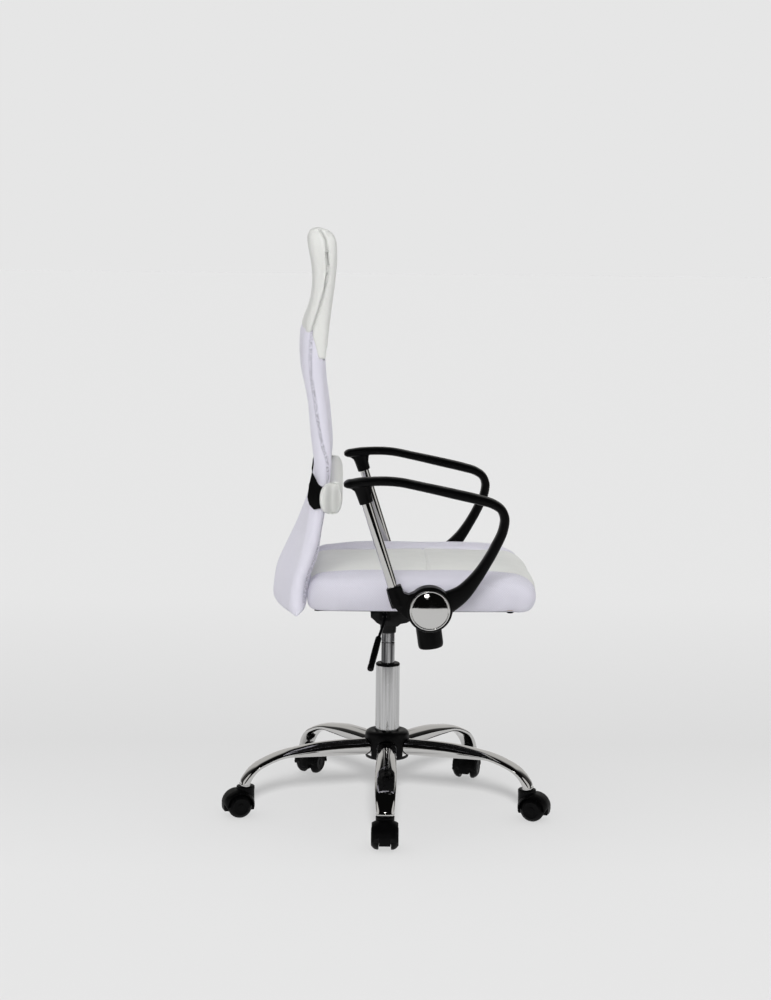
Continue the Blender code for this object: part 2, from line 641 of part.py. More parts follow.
def make_spring(steel, lift, up):
    """The coil between the housing and the washer."""
    per_turn = 8
    steps = SPRING_TURNS * per_turn
    low, high = SPRING_SPAN
    forward = Vector((math.cos(KNOB_LEAN), 0, math.sin(KNOB_LEAN)))
    across = Vector((0, 1, 0))
    points = []
    for i in range(steps + 1):
        angle = math.tau * i / per_turn
        height = low + (high - low) * i / steps
        out = forward * math.cos(angle) + across * math.sin(angle)
        points.append(KNOB_TOP + up * height + out * SPRING_R)
    ride(mesh_object("tension_spring", tube_along(points, SPRING_WIRE_R, 5), steel), lift)


def smooth_path(points, per_span=2):
    """Catmull-Rom points through a route's own points."""
    line = []
    for i in range(len(points) - 1):
        p0, p1 = points[max(i - 1, 0)], points[i]
        p2, p3 = points[i + 1], points[min(i + 2, len(points) - 1)]
        for k in range(per_span):
            t = k / per_span
            line.append(0.5 * (2 * p1 + (p2 - p0) * t + (2 * p0 - 5 * p1 + 4 * p2 - p3) * t**2
                               + (3 * p1 - p0 - 3 * p2 + p3) * t**3))
    line.append(points[-1])
    return line


def make_lever(black, steel, slide_axis, lever_axis):
    """The height lever: a bent rod in the lock bar's eye, with a plastic grip on its end."""
    across = Vector((0, 1, 0))
    bar = mesh_object("lock_bar", box((-0.0275, -0.0195), (-0.034, -0.004), (0.4165, 0.4195)), steel)
    eye = box((-0.0200, -0.0020), (-0.0335, -0.0275), (0.4040, 0.4195))
    combine(bar, mesh_object("bar_eye", eye), "UNION")
    hole = stand_along(cylinder(LEVER_ROD_R + 0.0018, -0.04, 0.04, 10), LEVER_PIVOT, across)
    combine(bar, mesh_object("bar_eye_hole", hole), "DIFFERENCE")
    ride(bar, slide_axis)
    rod_line = smooth_path([Vector(p) for p in LEVER_ROUTE])
    ride(mesh_object("lever_rod", tube_along(rod_line, LEVER_ROD_R, 8), steel), lever_axis)
    start, end = GRIP_ENDS
    length = (end - start).length
    profile = (
        (0, 0), (0.0048, 0), (0.0056, 0.002), (0.0062, length * 0.5), (0.0062, length - 0.004),
        (0.0045, length), (0, length),
    )
    grip = stand_along(turned(profile, 12), start, (end - start).normalized())
    grip = mesh_object("lever_grip", grip, black)
    bore_line = rod_line[-6:]
    past_end = (bore_line[-1] - bore_line[-2]) * 0.15
    bore_line[-1] = bore_line[-1] + past_end
    combine(grip, mesh_object("grip_bore", tube_along(bore_line, LEVER_ROD_R + 0.0005, 8)), "DIFFERENCE")
    ride(grip, lever_axis)


# ---------------------------------------------------------------- seat
def rounded_rectangle(x, half_y, corner, steps=3):
    """Outline between two x values and within a half width, with round corners."""
    outline = []
    corners = (
        (x[1] - corner, half_y - corner), (x[0] + corner, half_y - corner),
        (x[0] + corner, corner - half_y), (x[1] - corner, corner - half_y),
    )
    for quarter, (cx, cy) in enumerate(corners):
        for k in range(steps + 1):
            angle = math.pi / 2 * (quarter + k / steps)
            outline.append((cx + corner * math.cos(angle), cy + corner * math.sin(angle)))
    return outline


def make_seat(leather, wood, steel, tilt):
    outline = rounded_rectangle(BOARD_X, BOARD_HALF_Y, BOARD_CORNER_R)
    ride(mesh_object("seat_board", prism(outline, *BOARD_Z, plane="XY"), wood), tilt)

    rings = []
    for x, low, high, half in SEAT_STATIONS:
        section = superellipse(half, (high - low) / 2, 6, 20)
        rings.append([(x, u, (low + high) / 2 + v) for u, v in section])
    cushion = mesh_object("seat_cushion", lofted(rings), leather)
    pocket_x = (BOARD_X[0] - GAP, BOARD_X[1] + GAP)
    pocket = rounded_rectangle(pocket_x, BOARD_HALF_Y + GAP, BOARD_CORNER_R + GAP)
    pocket = prism(pocket, BOARD_Z[0] - 0.03, BOARD_Z[1] + GAP, plane="XY")
    combine(cushion, mesh_object("board_pocket", pocket), "DIFFERENCE")
    ride(cushion, tilt)

    for side, name in ((1, "left"), (-1, "right")):
        angle = [(side * y, z) for y, z in ARM_BRACKET]
        ride(mesh_object(f"arm_bracket_{name}", prism(angle, *ARM_BRACKET_X, plane="YZ"), steel), tilt)


# ---------------------------------------------------------------- back
def back_x(z):
    return between(BACK_LINE, z)


def bow_at(y, z):
    """How far a point of the back lies behind the side tubes' line."""
    return between(BACK_BOW, z) * (1 - (y / BACK_TUBE_Y) ** 2)


def mesh_level(step):
    """Heights that the mesh panels and the side tubes share, so that their flats lie side by side."""
    return MESH_Z[0] + (MESH_Z[1] - MESH_Z[0]) * step / MESH_STEPS


def back_panel(front, back, across=6):
    """A thin curved panel between two offsets from the back's line."""
    bm = bmesh.new()
    half = BACK_TUBE_Y
    grids = []
    for offset in (front, back):
        grid = []
        for k in range(MESH_STEPS + 1):
            z = mesh_level(k)
            row = []
            for i in range(across + 1):
                y = half * (2 * i / across - 1)
                row.append(bm.verts.new((back_x(z) + offset - bow_at(y, z), y, z)))
            grid.append(row)
        grids.append(grid)
        for low, high in zip(grid, grid[1:]):
            for i in range(across):
                bm.faces.new((low[i], low[i + 1], high[i + 1], high[i]))
    rim = []
    for grid in grids:
        loop = grid[0][:] + [row[-1] for row in grid[1:]]
        loop += grid[-1][-2::-1] + [row[0] for row in grid[-2:0:-1]]
        rim.append(loop)
    for i in range(len(rim[0])):
        j = (i + 1) % len(rim[0])
        bm.faces.new((rim[0][i], rim[0][j], rim[1][j], rim[1][i]))
    return bm


def side_line(side):
    """Centre points of a side tube from bottom to top."""
    heights = [BACK_BOTTOM_Z - 0.004] + [mesh_level(k) for k in range(MESH_STEPS + 1)]
    heights += [MESH_Z[1] + (BACK_TOP_Z - MESH_Z[1]) * k / 4 for k in range(1, 5)]
    return [Vector((back_x(z), side * BACK_TUBE_Y, z)) for z in heights]


def make_back_frame(black, tilt):
    """Side tubes, crossbars and the bracket under the seat. Returns the tools that hollow the headrest."""
    tools = []
    for side, name in ((1, "left"), (-1, "right")):
        line = side_line(side)
        ride(mesh_object(f"back_tube_{name}", tube_along(line, BACK_TUBE_R, 10), black), tilt)
        channel = [p for p in line if p.z > HEADREST_STATIONS[0][0] - 0.06]
        channel.append(channel[-1] + Vector((0, 0, 0.002)))
        tools.append(mesh_object(f"tube_channel_{name}", tube_along(channel, BACK_TUBE_R + CHANNEL_GAP, 10)))
    end_y = BACK_TUBE_Y - BACK_TUBE_R - GAP
    top_z = BACK_TOP_Z - BACK_TUBE_R - 0.002
    upper_bar = [Vector((back_x(top_z), y, top_z)) for y in (-end_y, 0, end_y)]
    ride(mesh_object("back_crossbar_top", tube_along(upper_bar, UPPER_BAR_R, 10), black), tilt)
    reach = end_y + 0.004
    channel = [Vector((back_x(top_z), y, top_z)) for y in (-reach, 0, reach)]
    tools.append(mesh_object("crossbar_channel", tube_along(channel, UPPER_BAR_R + CHANNEL_GAP, 10)))
    lower_bar = []
    for k in range(11):
        y = end_y * (2 * k / 10 - 1)
        lower_bar.append(Vector((back_x(BACK_BOTTOM_Z) - bow_at(y, BACK_BOTTOM_Z), y, BACK_BOTTOM_Z)))
    ride(mesh_object("back_crossbar_bottom", tube_along(lower_bar, LOWER_BAR_R, 9), black), tilt)
    bracket = box((-0.2075, -0.0758), (-0.060, 0.060), (0.4500, 0.4545))
    ride(mesh_object("back_bracket", bracket, black), tilt)
    return tools


def make_back(black, fabric, leather, tilt):
    tools = make_back_frame(black, tilt)
    reach = BACK_TUBE_R / math.cos(BACK_STEEPEST) + 2 * GAP
    ride(mesh_object("back_mesh_front", back_panel(reach, reach + MESH_T), fabric), tilt)
    ride(mesh_object("back_mesh_rear", back_panel(-reach - MESH_T, -reach), fabric), tilt)
    rings = []
    for z, rear_x, front_x, half in HEADREST_STATIONS:
        section = superellipse((front_x - rear_x) / 2, half, 5, 16)
        rings.append([((rear_x + front_x) / 2 + u, v, z) for u, v in section])
    headrest = mesh_object("headrest_pad", lofted(rings), leather)
    for tool in tools:
        combine(headrest, tool, "DIFFERENCE")
    ride(headrest, tilt)


def make_lumbar(black, leather, lumbar):
    """The bolster and its two clips, which slide up and down the side tubes."""
    rings = []
    far_half = [(-y, *rest) for y, *rest in reversed(LUMBAR_STATIONS[1:])]
    for y, x, depth, height in far_half + list(LUMBAR_STATIONS):
        section = superellipse(depth, height, 2.4, 12)
        rings.append([(x + u, y, LUMBAR_Z + v) for u, v in section])
    ride(mesh_object("lumbar_pad", lofted(rings), leather), lumbar)
    for side, name in ((1, "left"), (-1, "right")):
        near, far = sorted(side * y for y in CLIP_Y)
        clip = mesh_object(f"lumbar_clip_{name}", prism(CLIP_OUTLINE, near, far), black)
        near, far = sorted(side * y for y in HOOK_Y)
        combine(clip, mesh_object(f"clip_hook_{name}", prism(HOOK_OUTLINE, near, far)), "UNION")
        ride(clip, lumbar)


# ---------------------------------------------------------------- armrests
def mirrored(bm, side):
    """The shape itself for the left armrest, its mirror image for the right one."""
    if side < 0:
        bmesh.ops.scale(bm, vec=(1, -1, 1), verts=bm.verts)
        bmesh.ops.reverse_faces(bm, faces=bm.faces)
    return bm


def make_armrests(black, chrome, tilt):
    down = (POST_BOTTOM - POST_TOP).normalized()
    post_length = (POST_BOTTOM - POST_TOP).length
    for side, name in ((1, "left"), (-1, "right")):
        loop = swept(ARM_STATIONS, power=2.8, count=10)
        bmesh.ops.translate(loop, verts=loop.verts, vec=(0, ARM_Y, 0))
        arm = mesh_object(f"arm_loop_{name}", mirrored(loop, side), black)
        disc = turned((
            (0, -0.020), (ARM_HUB_R - 0.002, -0.020), (ARM_HUB_R, -0.018), (ARM_HUB_R, 0.0155),
            (ARM_HUB_R - 0.003, 0.018), (0, 0.018),
        ), 20)
        disc = mirrored(stand_along(disc, ARM_HUB, Vector((0, 1, 0))), side)
        combine(arm, mesh_object(f"arm_hub_{name}", disc), "UNION")
        web = mirrored(prism(ARM_WEB, ARM_Y - 0.0145, ARM_Y + 0.0135), side)
        combine(arm, mesh_object(f"arm_web_{name}", web), "UNION")
        boss = mirrored(stand_along(cylinder(0.0138, -0.033, 0.0, 14), POST_TOP, down), side)
        combine(arm, mesh_object(f"arm_boss_{name}", boss), "UNION")
        for point, low, high in (
            (POST_TOP, -POST_SOCKET_DEPTH, 0.01), (POST_BOTTOM, -0.02, POST_SOCKET_DEPTH),
        ):
            bore = cylinder((POST_R + GAP) / math.cos(math.pi / 16), low, high, 16)
            bore = mirrored(stand_along(bore, point, down), side)
            tool = mesh_object(f"post_bore_{name}", bore)
            combine(arm, tool, "DIFFERENCE")
        ride(arm, tilt)
        depth = POST_SOCKET_DEPTH - GAP
        post = turned((
            (0.0085, -depth), (POST_R, -depth), (POST_R, post_length + depth), (0.0085, post_length + depth),
        ), 16, closed=True)
        post = mirrored(stand_along(post, POST_TOP, down), side)
        ride(mesh_object(f"arm_post_{name}", post, chrome), tilt)
        cap = turned((
            (0, 0.0183), (0.0390, 0.0183), (0.0390, 0.0220), (0.0365, 0.0234), (0.0240, 0.0262), (0, 0.0280),
        ), 20)
        cap = mirrored(stand_along(cap, ARM_HUB, Vector((0, 1, 0))), side)
        ride(mesh_object(f"arm_cap_{name}", cap, chrome), tilt)


# ---------------------------------------------------------------- assembly
def main():
    clear_scene()
    chrome = material("chrome", (0.75, 0.75, 0.76), 0.08, 1.0)
    satin = material("satin_chrome", (0.62, 0.63, 0.64), 0.3, 1.0)
    steel = material("steel", (0.35, 0.35, 0.36), 0.4, 1.0)
    black = material("black_plastic", (0.012, 0.012, 0.013), 0.4)
    paint = material("black_paint", (0.01, 0.01, 0.011), 0.35)
    nylon = material("black_nylon", (0.01, 0.01, 0.01), 0.5)
    leather = material("white_leatherette", (0.72, 0.74, 0.71), 0.5)
    fabric = material("white_mesh", (0.74, 0.73, 0.8), 0.85)
    wood = material("plywood", (0.35, 0.24, 0.14), 0.7)

    swivel = empty("swivel_axis", (0, 0, 0.105))
    lift = empty("lift_axis", (0, 0, 0.30))
    ride(lift, swivel)
    tilt = empty("tilt_axis", TILT_PIN)
    ride(tilt, lift)
    lock_slide = empty("lock_slide_axis", LEVER_PIVOT)
    ride(lock_slide, lift)
    lever = empty("lever_axis", LEVER_PIVOT)
    ride(lever, lock_slide)
    knob = empty("knob_axis", KNOB_TOP)
    ride(knob, tilt)
    lumbar = empty("lumbar_slide_axis", (back_x(LUMBAR_Z), 0, LUMBAR_Z))
    ride(lumbar, tilt)

    make_base(chrome, black)
    make_casters(nylon, nylon, steel)
    make_gas_lift(satin, chrome, black, steel, swivel, lift)
    make_mechanism(paint, steel, lift, tilt)
    make_tension_unit(black, steel, lift, tilt, knob)
    make_lever(black, steel, lock_slide, lever)
    make_seat(leather, wood, paint, tilt)
    make_back(paint, fabric, leather, tilt)
    make_lumbar(black, leather, lumbar)
    make_armrests(black, chrome, tilt)


main()
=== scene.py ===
"""The looks of a swivel office chair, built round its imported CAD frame.

Metres, in the frame's own axes: +X is the chair's front, +Y its left side, +Z up. The origin is on the
floor, on the axis of the gas lift.
"""

import json
import math

import bmesh
import bpy
import numpy as np
from mathutils import Matrix, Vector
from mathutils.bvhtree import BVHTree

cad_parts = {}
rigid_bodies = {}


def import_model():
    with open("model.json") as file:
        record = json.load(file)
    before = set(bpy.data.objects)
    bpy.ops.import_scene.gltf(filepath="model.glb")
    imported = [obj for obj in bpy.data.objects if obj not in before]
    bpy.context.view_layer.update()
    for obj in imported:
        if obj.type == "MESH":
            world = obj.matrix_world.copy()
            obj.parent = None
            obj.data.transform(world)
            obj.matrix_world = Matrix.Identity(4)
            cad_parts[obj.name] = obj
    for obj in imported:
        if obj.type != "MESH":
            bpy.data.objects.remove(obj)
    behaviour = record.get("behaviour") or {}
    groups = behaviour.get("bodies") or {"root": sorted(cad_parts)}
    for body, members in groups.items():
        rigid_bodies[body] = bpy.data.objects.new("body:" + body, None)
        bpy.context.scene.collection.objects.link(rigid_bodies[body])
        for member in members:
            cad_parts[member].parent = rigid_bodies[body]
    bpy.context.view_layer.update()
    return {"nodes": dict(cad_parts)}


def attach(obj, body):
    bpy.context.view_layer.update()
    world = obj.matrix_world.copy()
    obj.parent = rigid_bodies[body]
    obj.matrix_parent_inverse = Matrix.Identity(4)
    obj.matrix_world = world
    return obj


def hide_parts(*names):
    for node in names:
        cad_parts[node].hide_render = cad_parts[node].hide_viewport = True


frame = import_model()

# ---------------------------------------------------------------- driving dimensions
LEGS = 5
LEG_TURN = math.radians(-91.66)  # direction of leg 1, measured from +X towards +Y
STEM_R = 0.3035
CASTER_HEADINGS = [math.radians(a) for a in (-91.7, -19.7, -107.0, 61.0, 196.3)]
CASTER_TRAIL = 0.0155
WHEEL_R = 0.025
# one leg from hub to caster: distance from the column axis, height, thickness, width
LEG_STATIONS = (
    (0.0300, 0.1290, 0.0330, 0.0380), (0.0650, 0.1290, 0.0330, 0.0385), (0.1000, 0.1290, 0.0325, 0.0400),
    (0.1500, 0.1285, 0.0285, 0.0425), (0.1900, 0.1264, 0.0215, 0.0435), (0.2200, 0.1236, 0.0160, 0.0435),
    (0.2570, 0.1120, 0.0142, 0.0430), (0.2830, 0.0980, 0.0150, 0.0410), (0.2990, 0.0800, 0.0180, 0.0380),
    (0.3045, 0.0690, 0.0202, 0.0360), (0.3050, 0.0665, 0.0206, 0.0358),
)
HUB_COVER_R = 0.046
COVER_RIM_Z = 0.1110  # lower edge of the openings for the legs
TUBE_R = 0.025
TUBE_TOP_Z = 0.2995
BUSH_TOP_Z = 0.3040
INNER_R = 0.014
KNOB_TOP = Vector((0.0828, 0.0, 0.385))
KNOB_UP = Vector((-math.sin(math.radians(8)), 0.0, math.cos(math.radians(8))))
KNOB_R = 0.0265
LEVER_ROUTE = (
    (0.0000, 0.005, 0.4116), (-0.0025, -0.010, 0.4114), (-0.0080, -0.025, 0.4106),
    (-0.0080, -0.045, 0.4095), (-0.0100, -0.075, 0.4055), (-0.0155, -0.112, 0.3960),
    (-0.0210, -0.141, 0.3860), (-0.0268, -0.160, 0.3700),
)
GRIP_RIBS = 9
GRIP_ENDS = (Vector((-0.0218, -0.1430, 0.3850)), Vector((-0.0393, -0.2040, 0.3310)))

ACROSS = Vector((0, 1, 0))
ARM_Y = 0.282
ARM_HUB = Vector((0.0735, ARM_Y, 0.469))
ARM_HUB_R = 0.0445
POST_TOP = Vector((-0.050, ARM_Y, 0.674))
POST_BOTTOM = Vector((0.002, ARM_Y, 0.511))
POST_R = 0.010
# the armrest's centre line from the pad's rear end to the hub: x, z, thickness, width
ARM_STATIONS = (
    (-0.0945, 0.7096, 0.0060, 0.030), (-0.0905, 0.7103, 0.0125, 0.041), (-0.0750, 0.7127, 0.0168, 0.046),
    (-0.0345, 0.7168, 0.0166, 0.048), (0.0040, 0.7162, 0.0168, 0.048), (0.0617, 0.7056, 0.0172, 0.047),
    (0.1195, 0.6932, 0.0188, 0.046), (0.1678, 0.6822, 0.0188, 0.044), (0.1935, 0.6745, 0.0180, 0.042),
    (0.2095, 0.6635, 0.0176, 0.040), (0.2162, 0.6465, 0.0184, 0.038), (0.2145, 0.6280, 0.0186, 0.037),
    (0.1985, 0.5895, 0.0196, 0.035), (0.1800, 0.5560, 0.0208, 0.034), (0.1590, 0.5250, 0.0255, 0.034),
    (0.1350, 0.4985, 0.0340, 0.034), (0.0980, 0.4760, 0.0480, 0.033),
)
ARM_WEB = (
    (-0.0096, 0.5080), (0.0173, 0.5160), (0.0230, 0.5010), (0.0330, 0.4975), (0.0480, 0.5040),
    (0.0735, 0.5125), (0.0735, 0.4255), (0.0390, 0.4440), (0.0120, 0.4655), (0.0003, 0.4790),
)

# the back's side tubes seen from the side: height, x
BACK_TUBE_Y = 0.222
BACK_LINE = (
    (0.440, -0.185), (0.483, -0.185), (0.513, -0.181), (0.553, -0.1675), (0.593, -0.156),
    (0.642, -0.147), (0.690, -0.139), (0.743, -0.135), (0.790, -0.1395), (0.850, -0.146),
    (0.930, -0.1555), (0.985, -0.1535), (1.053, -0.1425), (1.100, -0.137), (1.160, -0.140),
)
# how far the middle of the back lies behind its side tubes: height, depth
BACK_BOW = (
    (0.445, 0.038), (0.550, 0.030), (0.613, 0.017), (0.650, 0.009),
    (0.700, 0.004), (0.800, 0.004), (0.930, 0.010), (1.000, 0.012),
)
# half thickness of the mesh sleeve over the side tubes, in front and behind: height, front, rear
SLEEVE_HALF = (
    (0.433, 0.0090, 0.0130), (0.450, 0.0135, 0.0160), (0.480, 0.0140, 0.0160), (0.540, 0.0145, 0.0160),
    (0.600, 0.0145, 0.0165), (0.700, 0.0150, 0.0175), (0.760, 0.0170, 0.0180), (0.810, 0.0180, 0.0185),
    (0.870, 0.0175, 0.0175), (0.930, 0.0200, 0.0200), (1.000, 0.0215, 0.0215),
)
LEATHER_HALF_Y = 0.146
SIDE_FACE_Y = 0.225  # the side faces of the seat and the headrest lie further out than this
LUMBAR_Z = 0.679
LUMBAR_SEAM_Y = 0.2478  # the seam round each of the bolster's ends
LUMBAR_DISH_X = -0.1150


# ---------------------------------------------------------------- node materials
class Nodes:
    """A material's node tree, with short calls for the nodes that it uses."""

    def __init__(self, name):
        self.mat = bpy.data.materials.new(name)
        self.mat.use_nodes = True
        self.tree = self.mat.node_tree
        self.shader = self.tree.nodes["Principled BSDF"]

    def add(self, kind, **settings):
        node = self.tree.nodes.new(kind)
        for key, value in settings.items():
            setattr(node, key, value)
        return node

    def link(self, out, into):
        self.tree.links.new(out, into)

    def feed(self, socket, value):
        if hasattr(value, "links"):
            self.link(value, socket)
        else:
            socket.default_value = value

    def math(self, operation, a, b=0.0, c=0.0):
        node = self.add("ShaderNodeMath", operation=operation)
        for socket, value in zip(node.inputs, (a, b, c)):
            self.feed(socket, value)
        return node.outputs[0]

    def place(self, kind="Object"):
        """Object coordinates, which are the chair's own metres, or the piece's own UV in metres."""
        return self.add("ShaderNodeTexCoord").outputs[kind]

    def stretched(self, vector, scale):
        node = self.add("ShaderNodeMapping")
        node.inputs["Scale"].default_value = scale
        self.link(vector, node.inputs["Vector"])
        return node.outputs[0]

    def axes(self, vector):
        node = self.add("ShaderNodeSeparateXYZ")
        self.link(vector, node.inputs[0])
        return node.outputs

    def noise(self, vector, scale, detail=3.0, roughness=0.5):
        node = self.add("ShaderNodeTexNoise")
        self.link(vector, node.inputs["Vector"])
        node.inputs["Scale"].default_value = scale
        node.inputs["Detail"].default_value = detail
        node.inputs["Roughness"].default_value = roughness
        return node.outputs[0]

    def voronoi(self, vector, scale, feature="F1"):
        node = self.add("ShaderNodeTexVoronoi", feature=feature)
        self.link(vector, node.inputs["Vector"])
        node.inputs["Scale"].default_value = scale
        return node.outputs["Distance"]

    def span(self, value, low, high, out_low=0.0, out_high=1.0):
        """Maps a range of values onto another, without going past its ends."""
        node = self.add("ShaderNodeMapRange", interpolation_type="SMOOTHSTEP")
        self.link(value, node.inputs["Value"])
        names = ("From Min", "From Max", "To Min", "To Max")
        for key, number in zip(names, (low, high, out_low, out_high)):
            node.inputs[key].default_value = number
        return node.outputs[0]

    def mix(self, share, a, b):
        node = self.add("ShaderNodeMix", data_type="RGBA")
        self.feed(node.inputs[0], share)
        for socket, colour in ((node.inputs[6], a), (node.inputs[7], b)):
            if isinstance(colour, tuple):
                colour = (*colour, 1.0)
            self.feed(socket, colour)
        return node.outputs[2]

    def bump(self, height, strength, distance, under=None):
        node = self.add("ShaderNodeBump")
        node.inputs["Strength"].default_value = strength
        node.inputs["Distance"].default_value = distance
        self.link(height, node.inputs["Height"])
        if under is not None:
            self.link(under, node.inputs["Normal"])
        return node.outputs[0]

    def finish(self, colour, roughness, normal=None, metallic=0.0, specular=0.5, sheen=0.0):
        if isinstance(colour, tuple):
            colour = (*colour, 1.0)
        self.feed(self.shader.inputs["Base Color"], colour)
        self.feed(self.shader.inputs["Roughness"], roughness)
        self.shader.inputs["Metallic"].default_value = metallic
        self.shader.inputs["Specular IOR Level"].default_value = specular
        self.shader.inputs["Sheen Weight"].default_value = sheen
        self.shader.inputs["Sheen Roughness"].default_value = 0.5
        if normal is not None:
            self.link(normal, self.shader.inputs["Normal"])
        return self.mat


def chrome_material():
    n = Nodes("chrome_polished")
    place = n.place()
    smudge = n.noise(place, 24.0, 4.0, 0.6)
    rough = n.span(smudge, 0.35, 0.75, 0.035, 0.085)
    tone = n.mix(n.noise(place, 7.0), (0.585, 0.580, 0.570), (0.63, 0.625, 0.615))
    wave = n.bump(n.noise(place, 30.0, 1.0), 0.02, 0.0003)
    return n.finish(tone, rough, wave, metallic=1.0)


def satin_material():
    """Chrome with a drawn tube's fine lines along its length."""
    n = Nodes("chrome_satin")
    drawn = n.stretched(n.place(), (1.0, 1.0, 0.02))
    lines = n.noise(drawn, 900.0, 2.0)
    rough = n.span(n.noise(drawn, 160.0, 3.0), 0.3, 0.7, 0.14, 0.26)
    bands = n.noise(drawn, 210.0, 2.0)
    tone = n.mix(lines, (0.56, 0.56, 0.56), (0.62, 0.62, 0.625))
    tone = n.mix(n.span(bands, 0.35, 0.70, 0.0, 0.55), tone, (0.40, 0.40, 0.40))
    return n.finish(tone, rough, n.bump(lines, 0.12, 0.0002), metallic=1.0)


def cylinder_material():
    """The lift's inner cylinder: dark polished steel with streaks along its length."""
    n = Nodes("steel_polished_dark")
    drawn = n.stretched(n.place(), (1.0, 1.0, 0.012))
    streaks = n.span(n.noise(drawn, 230.0, 3.0, 0.6), 0.40, 0.62)
    fine = n.noise(drawn, 1200.0, 2.0)
    tone = n.mix(streaks, (0.045, 0.045, 0.047), (0.40, 0.40, 0.405))
    rough = n.span(fine, 0.3, 0.7, 0.08, 0.20)
    return n.finish(tone, rough, n.bump(fine, 0.05, 0.0002), metallic=1.0)


def steel_material():
    n = Nodes("steel_zinc")
    place = n.place()
    blotch = n.noise(place, 60.0, 4.0, 0.6)
    tone = n.mix(blotch, (0.36, 0.36, 0.37), (0.50, 0.50, 0.50))
    rough = n.span(blotch, 0.3, 0.7, 0.28, 0.46)
    return n.finish(tone, rough, n.bump(n.noise(place, 700.0, 2.0), 0.1, 0.0002), metallic=1.0)


def plastic_material(name, colour, low, high, grain):
    """Moulded black plastic with a fine grain."""
    n = Nodes(name)
    place = n.place()
    cloud = n.noise(place, 18.0, 3.0)
    tone = n.mix(cloud, colour, tuple(c * 1.8 + 0.0006 for c in colour))
    rough = n.span(n.noise(place, 45.0, 3.0), 0.3, 0.7, low, high)
    pits = n.voronoi(place, grain)
    return n.finish(tone, rough, n.bump(pits, 0.10, 0.0002), specular=0.09)


def paint_material():
    """Black powder coat with an orange-peel surface."""
    n = Nodes("black_powder_coat")
    place = n.place()
    peel = n.noise(place, 520.0, 2.0)
    tone = n.mix(n.noise(place, 14.0), (0.002, 0.002, 0.0022), (0.004, 0.004, 0.0044))
    rough = n.span(n.noise(place, 40.0), 0.3, 0.7, 0.32, 0.44)
    return n.finish(tone, rough, n.bump(peel, 0.25, 0.0003), specular=0.2)


PLY_PAIR = 0.0024  # one light and one dark layer of the plywood


def wood_material():
    n = Nodes("plywood_board")
    place = n.place()
    grain = n.noise(n.stretched(place, (6.0, 60.0, 60.0)), 1.0, 5.0, 0.6)
    height = n.axes(place)[2]
    plies = n.math("SINE", n.math("MULTIPLY", height, 2 * math.pi / PLY_PAIR))
    tone = n.mix(grain, (0.30, 0.19, 0.10), (0.52, 0.37, 0.22))
    tone = n.mix(n.span(plies, -0.2, 0.2, 0.0, 0.35), tone, (0.22, 0.13, 0.07))
    return n.finish(tone, 0.7, n.bump(grain, 0.3, 0.0004))


def leather_parts(n, place):
    """Colour, roughness and normal of off-white leatherette: pebbled grain, creases, soft tone changes,
    painted shade in the grain's valleys, and painted shade from a value stored on each point.
    """
    cells = n.voronoi(place, 620.0, feature="DISTANCE_TO_EDGE")
    valleys = n.span(cells, 0.0, 0.22)
    fine = n.noise(place, 1500.0, 2.0)
    height = n.math("ADD", valleys, n.math("MULTIPLY", fine, 0.35))
    creases = n.noise(place, 55.0, 4.0, 0.6)
    normal = n.bump(creases, 0.10, 0.0015)
    normal = n.bump(height, 0.22, 0.0004, normal)
    tone = n.mix(n.noise(place, 9.0, 3.0), (0.655, 0.662, 0.638), (0.700, 0.706, 0.686))
    # painted shade: the grain's valleys are darkened
    tone = n.mix(n.span(valleys, 0.0, 1.0, 0.10, 0.0), tone, (0.46, 0.46, 0.44))
    # painted shade: the leatherette is darkened where each point's stored value says, along the headrest's
    # side seams and in the lumbar bolster's dished ends
    painted_shade = n.add("ShaderNodeAttribute", attribute_name="painted_shade").outputs["Fac"]
    tone = n.mix(n.math("MULTIPLY", painted_shade, 0.42), tone, (0.25, 0.25, 0.245))
    rough = n.span(n.noise(place, 30.0, 3.0), 0.3, 0.7, 0.44, 0.56)
    return tone, rough, normal


WEAVE_PITCH = 0.0032  # from hole to hole along a row
WEAVE_COLOURS = ((0.705, 0.692, 0.775), (0.765, 0.752, 0.825))  # worn, clean


def weave_parts(n, place, u, v, shade=1.0):
    """Colour, hole mask and normal of spacer mesh: rows of oval holes, every second row shifted, the holes
    darkened as painted shade.
    """
    rows = n.math("DIVIDE", v, WEAVE_PITCH * 0.5)
    row = n.math("FLOOR", rows)
    shift = n.math("MULTIPLY", n.math("MODULO", n.math("ABSOLUTE", row), 2.0), 0.5)
    across = n.math("ADD", n.math("DIVIDE", u, WEAVE_PITCH), shift)
    du = n.math("SUBTRACT", n.math("FRACT", across), 0.5)
    dv = n.math("SUBTRACT", n.math("FRACT", rows), 0.5)
    square = n.math("ADD", n.math("MULTIPLY", n.math("MULTIPLY", du, du), 4.0),
                    n.math("MULTIPLY", n.math("MULTIPLY", dv, dv), 2.2))
    hole = n.span(n.math("SQRT", square), 0.32, 0.62, 1.0, 0.0)
    thread = n.noise(place, 1400.0, 2.0)
    worn = n.noise(place, 16.0, 3.0)
    # shade scales both colours; below 1 it is painted shade
    dull, bright = (tuple(shade * c for c in colour) for colour in WEAVE_COLOURS)
    tone = n.mix(worn, dull, bright)
    # painted shade: the holes are darkened for the shade seen through them
    tone = n.mix(n.math("MULTIPLY", hole, 0.62), tone, (0.30, 0.29, 0.36))
    height = n.math("SUBTRACT", n.math("MULTIPLY", thread, 0.35), n.math("MULTIPLY", hole, 1.0))
    return tone, hole, n.bump(height, 0.5, 0.0007)


def leather_material():
    n = Nodes("leatherette_white")
    place = n.place()
    tone, rough, normal = leather_parts(n, place)
    return n.finish(tone, rough, normal, specular=0.35, sheen=0.05)


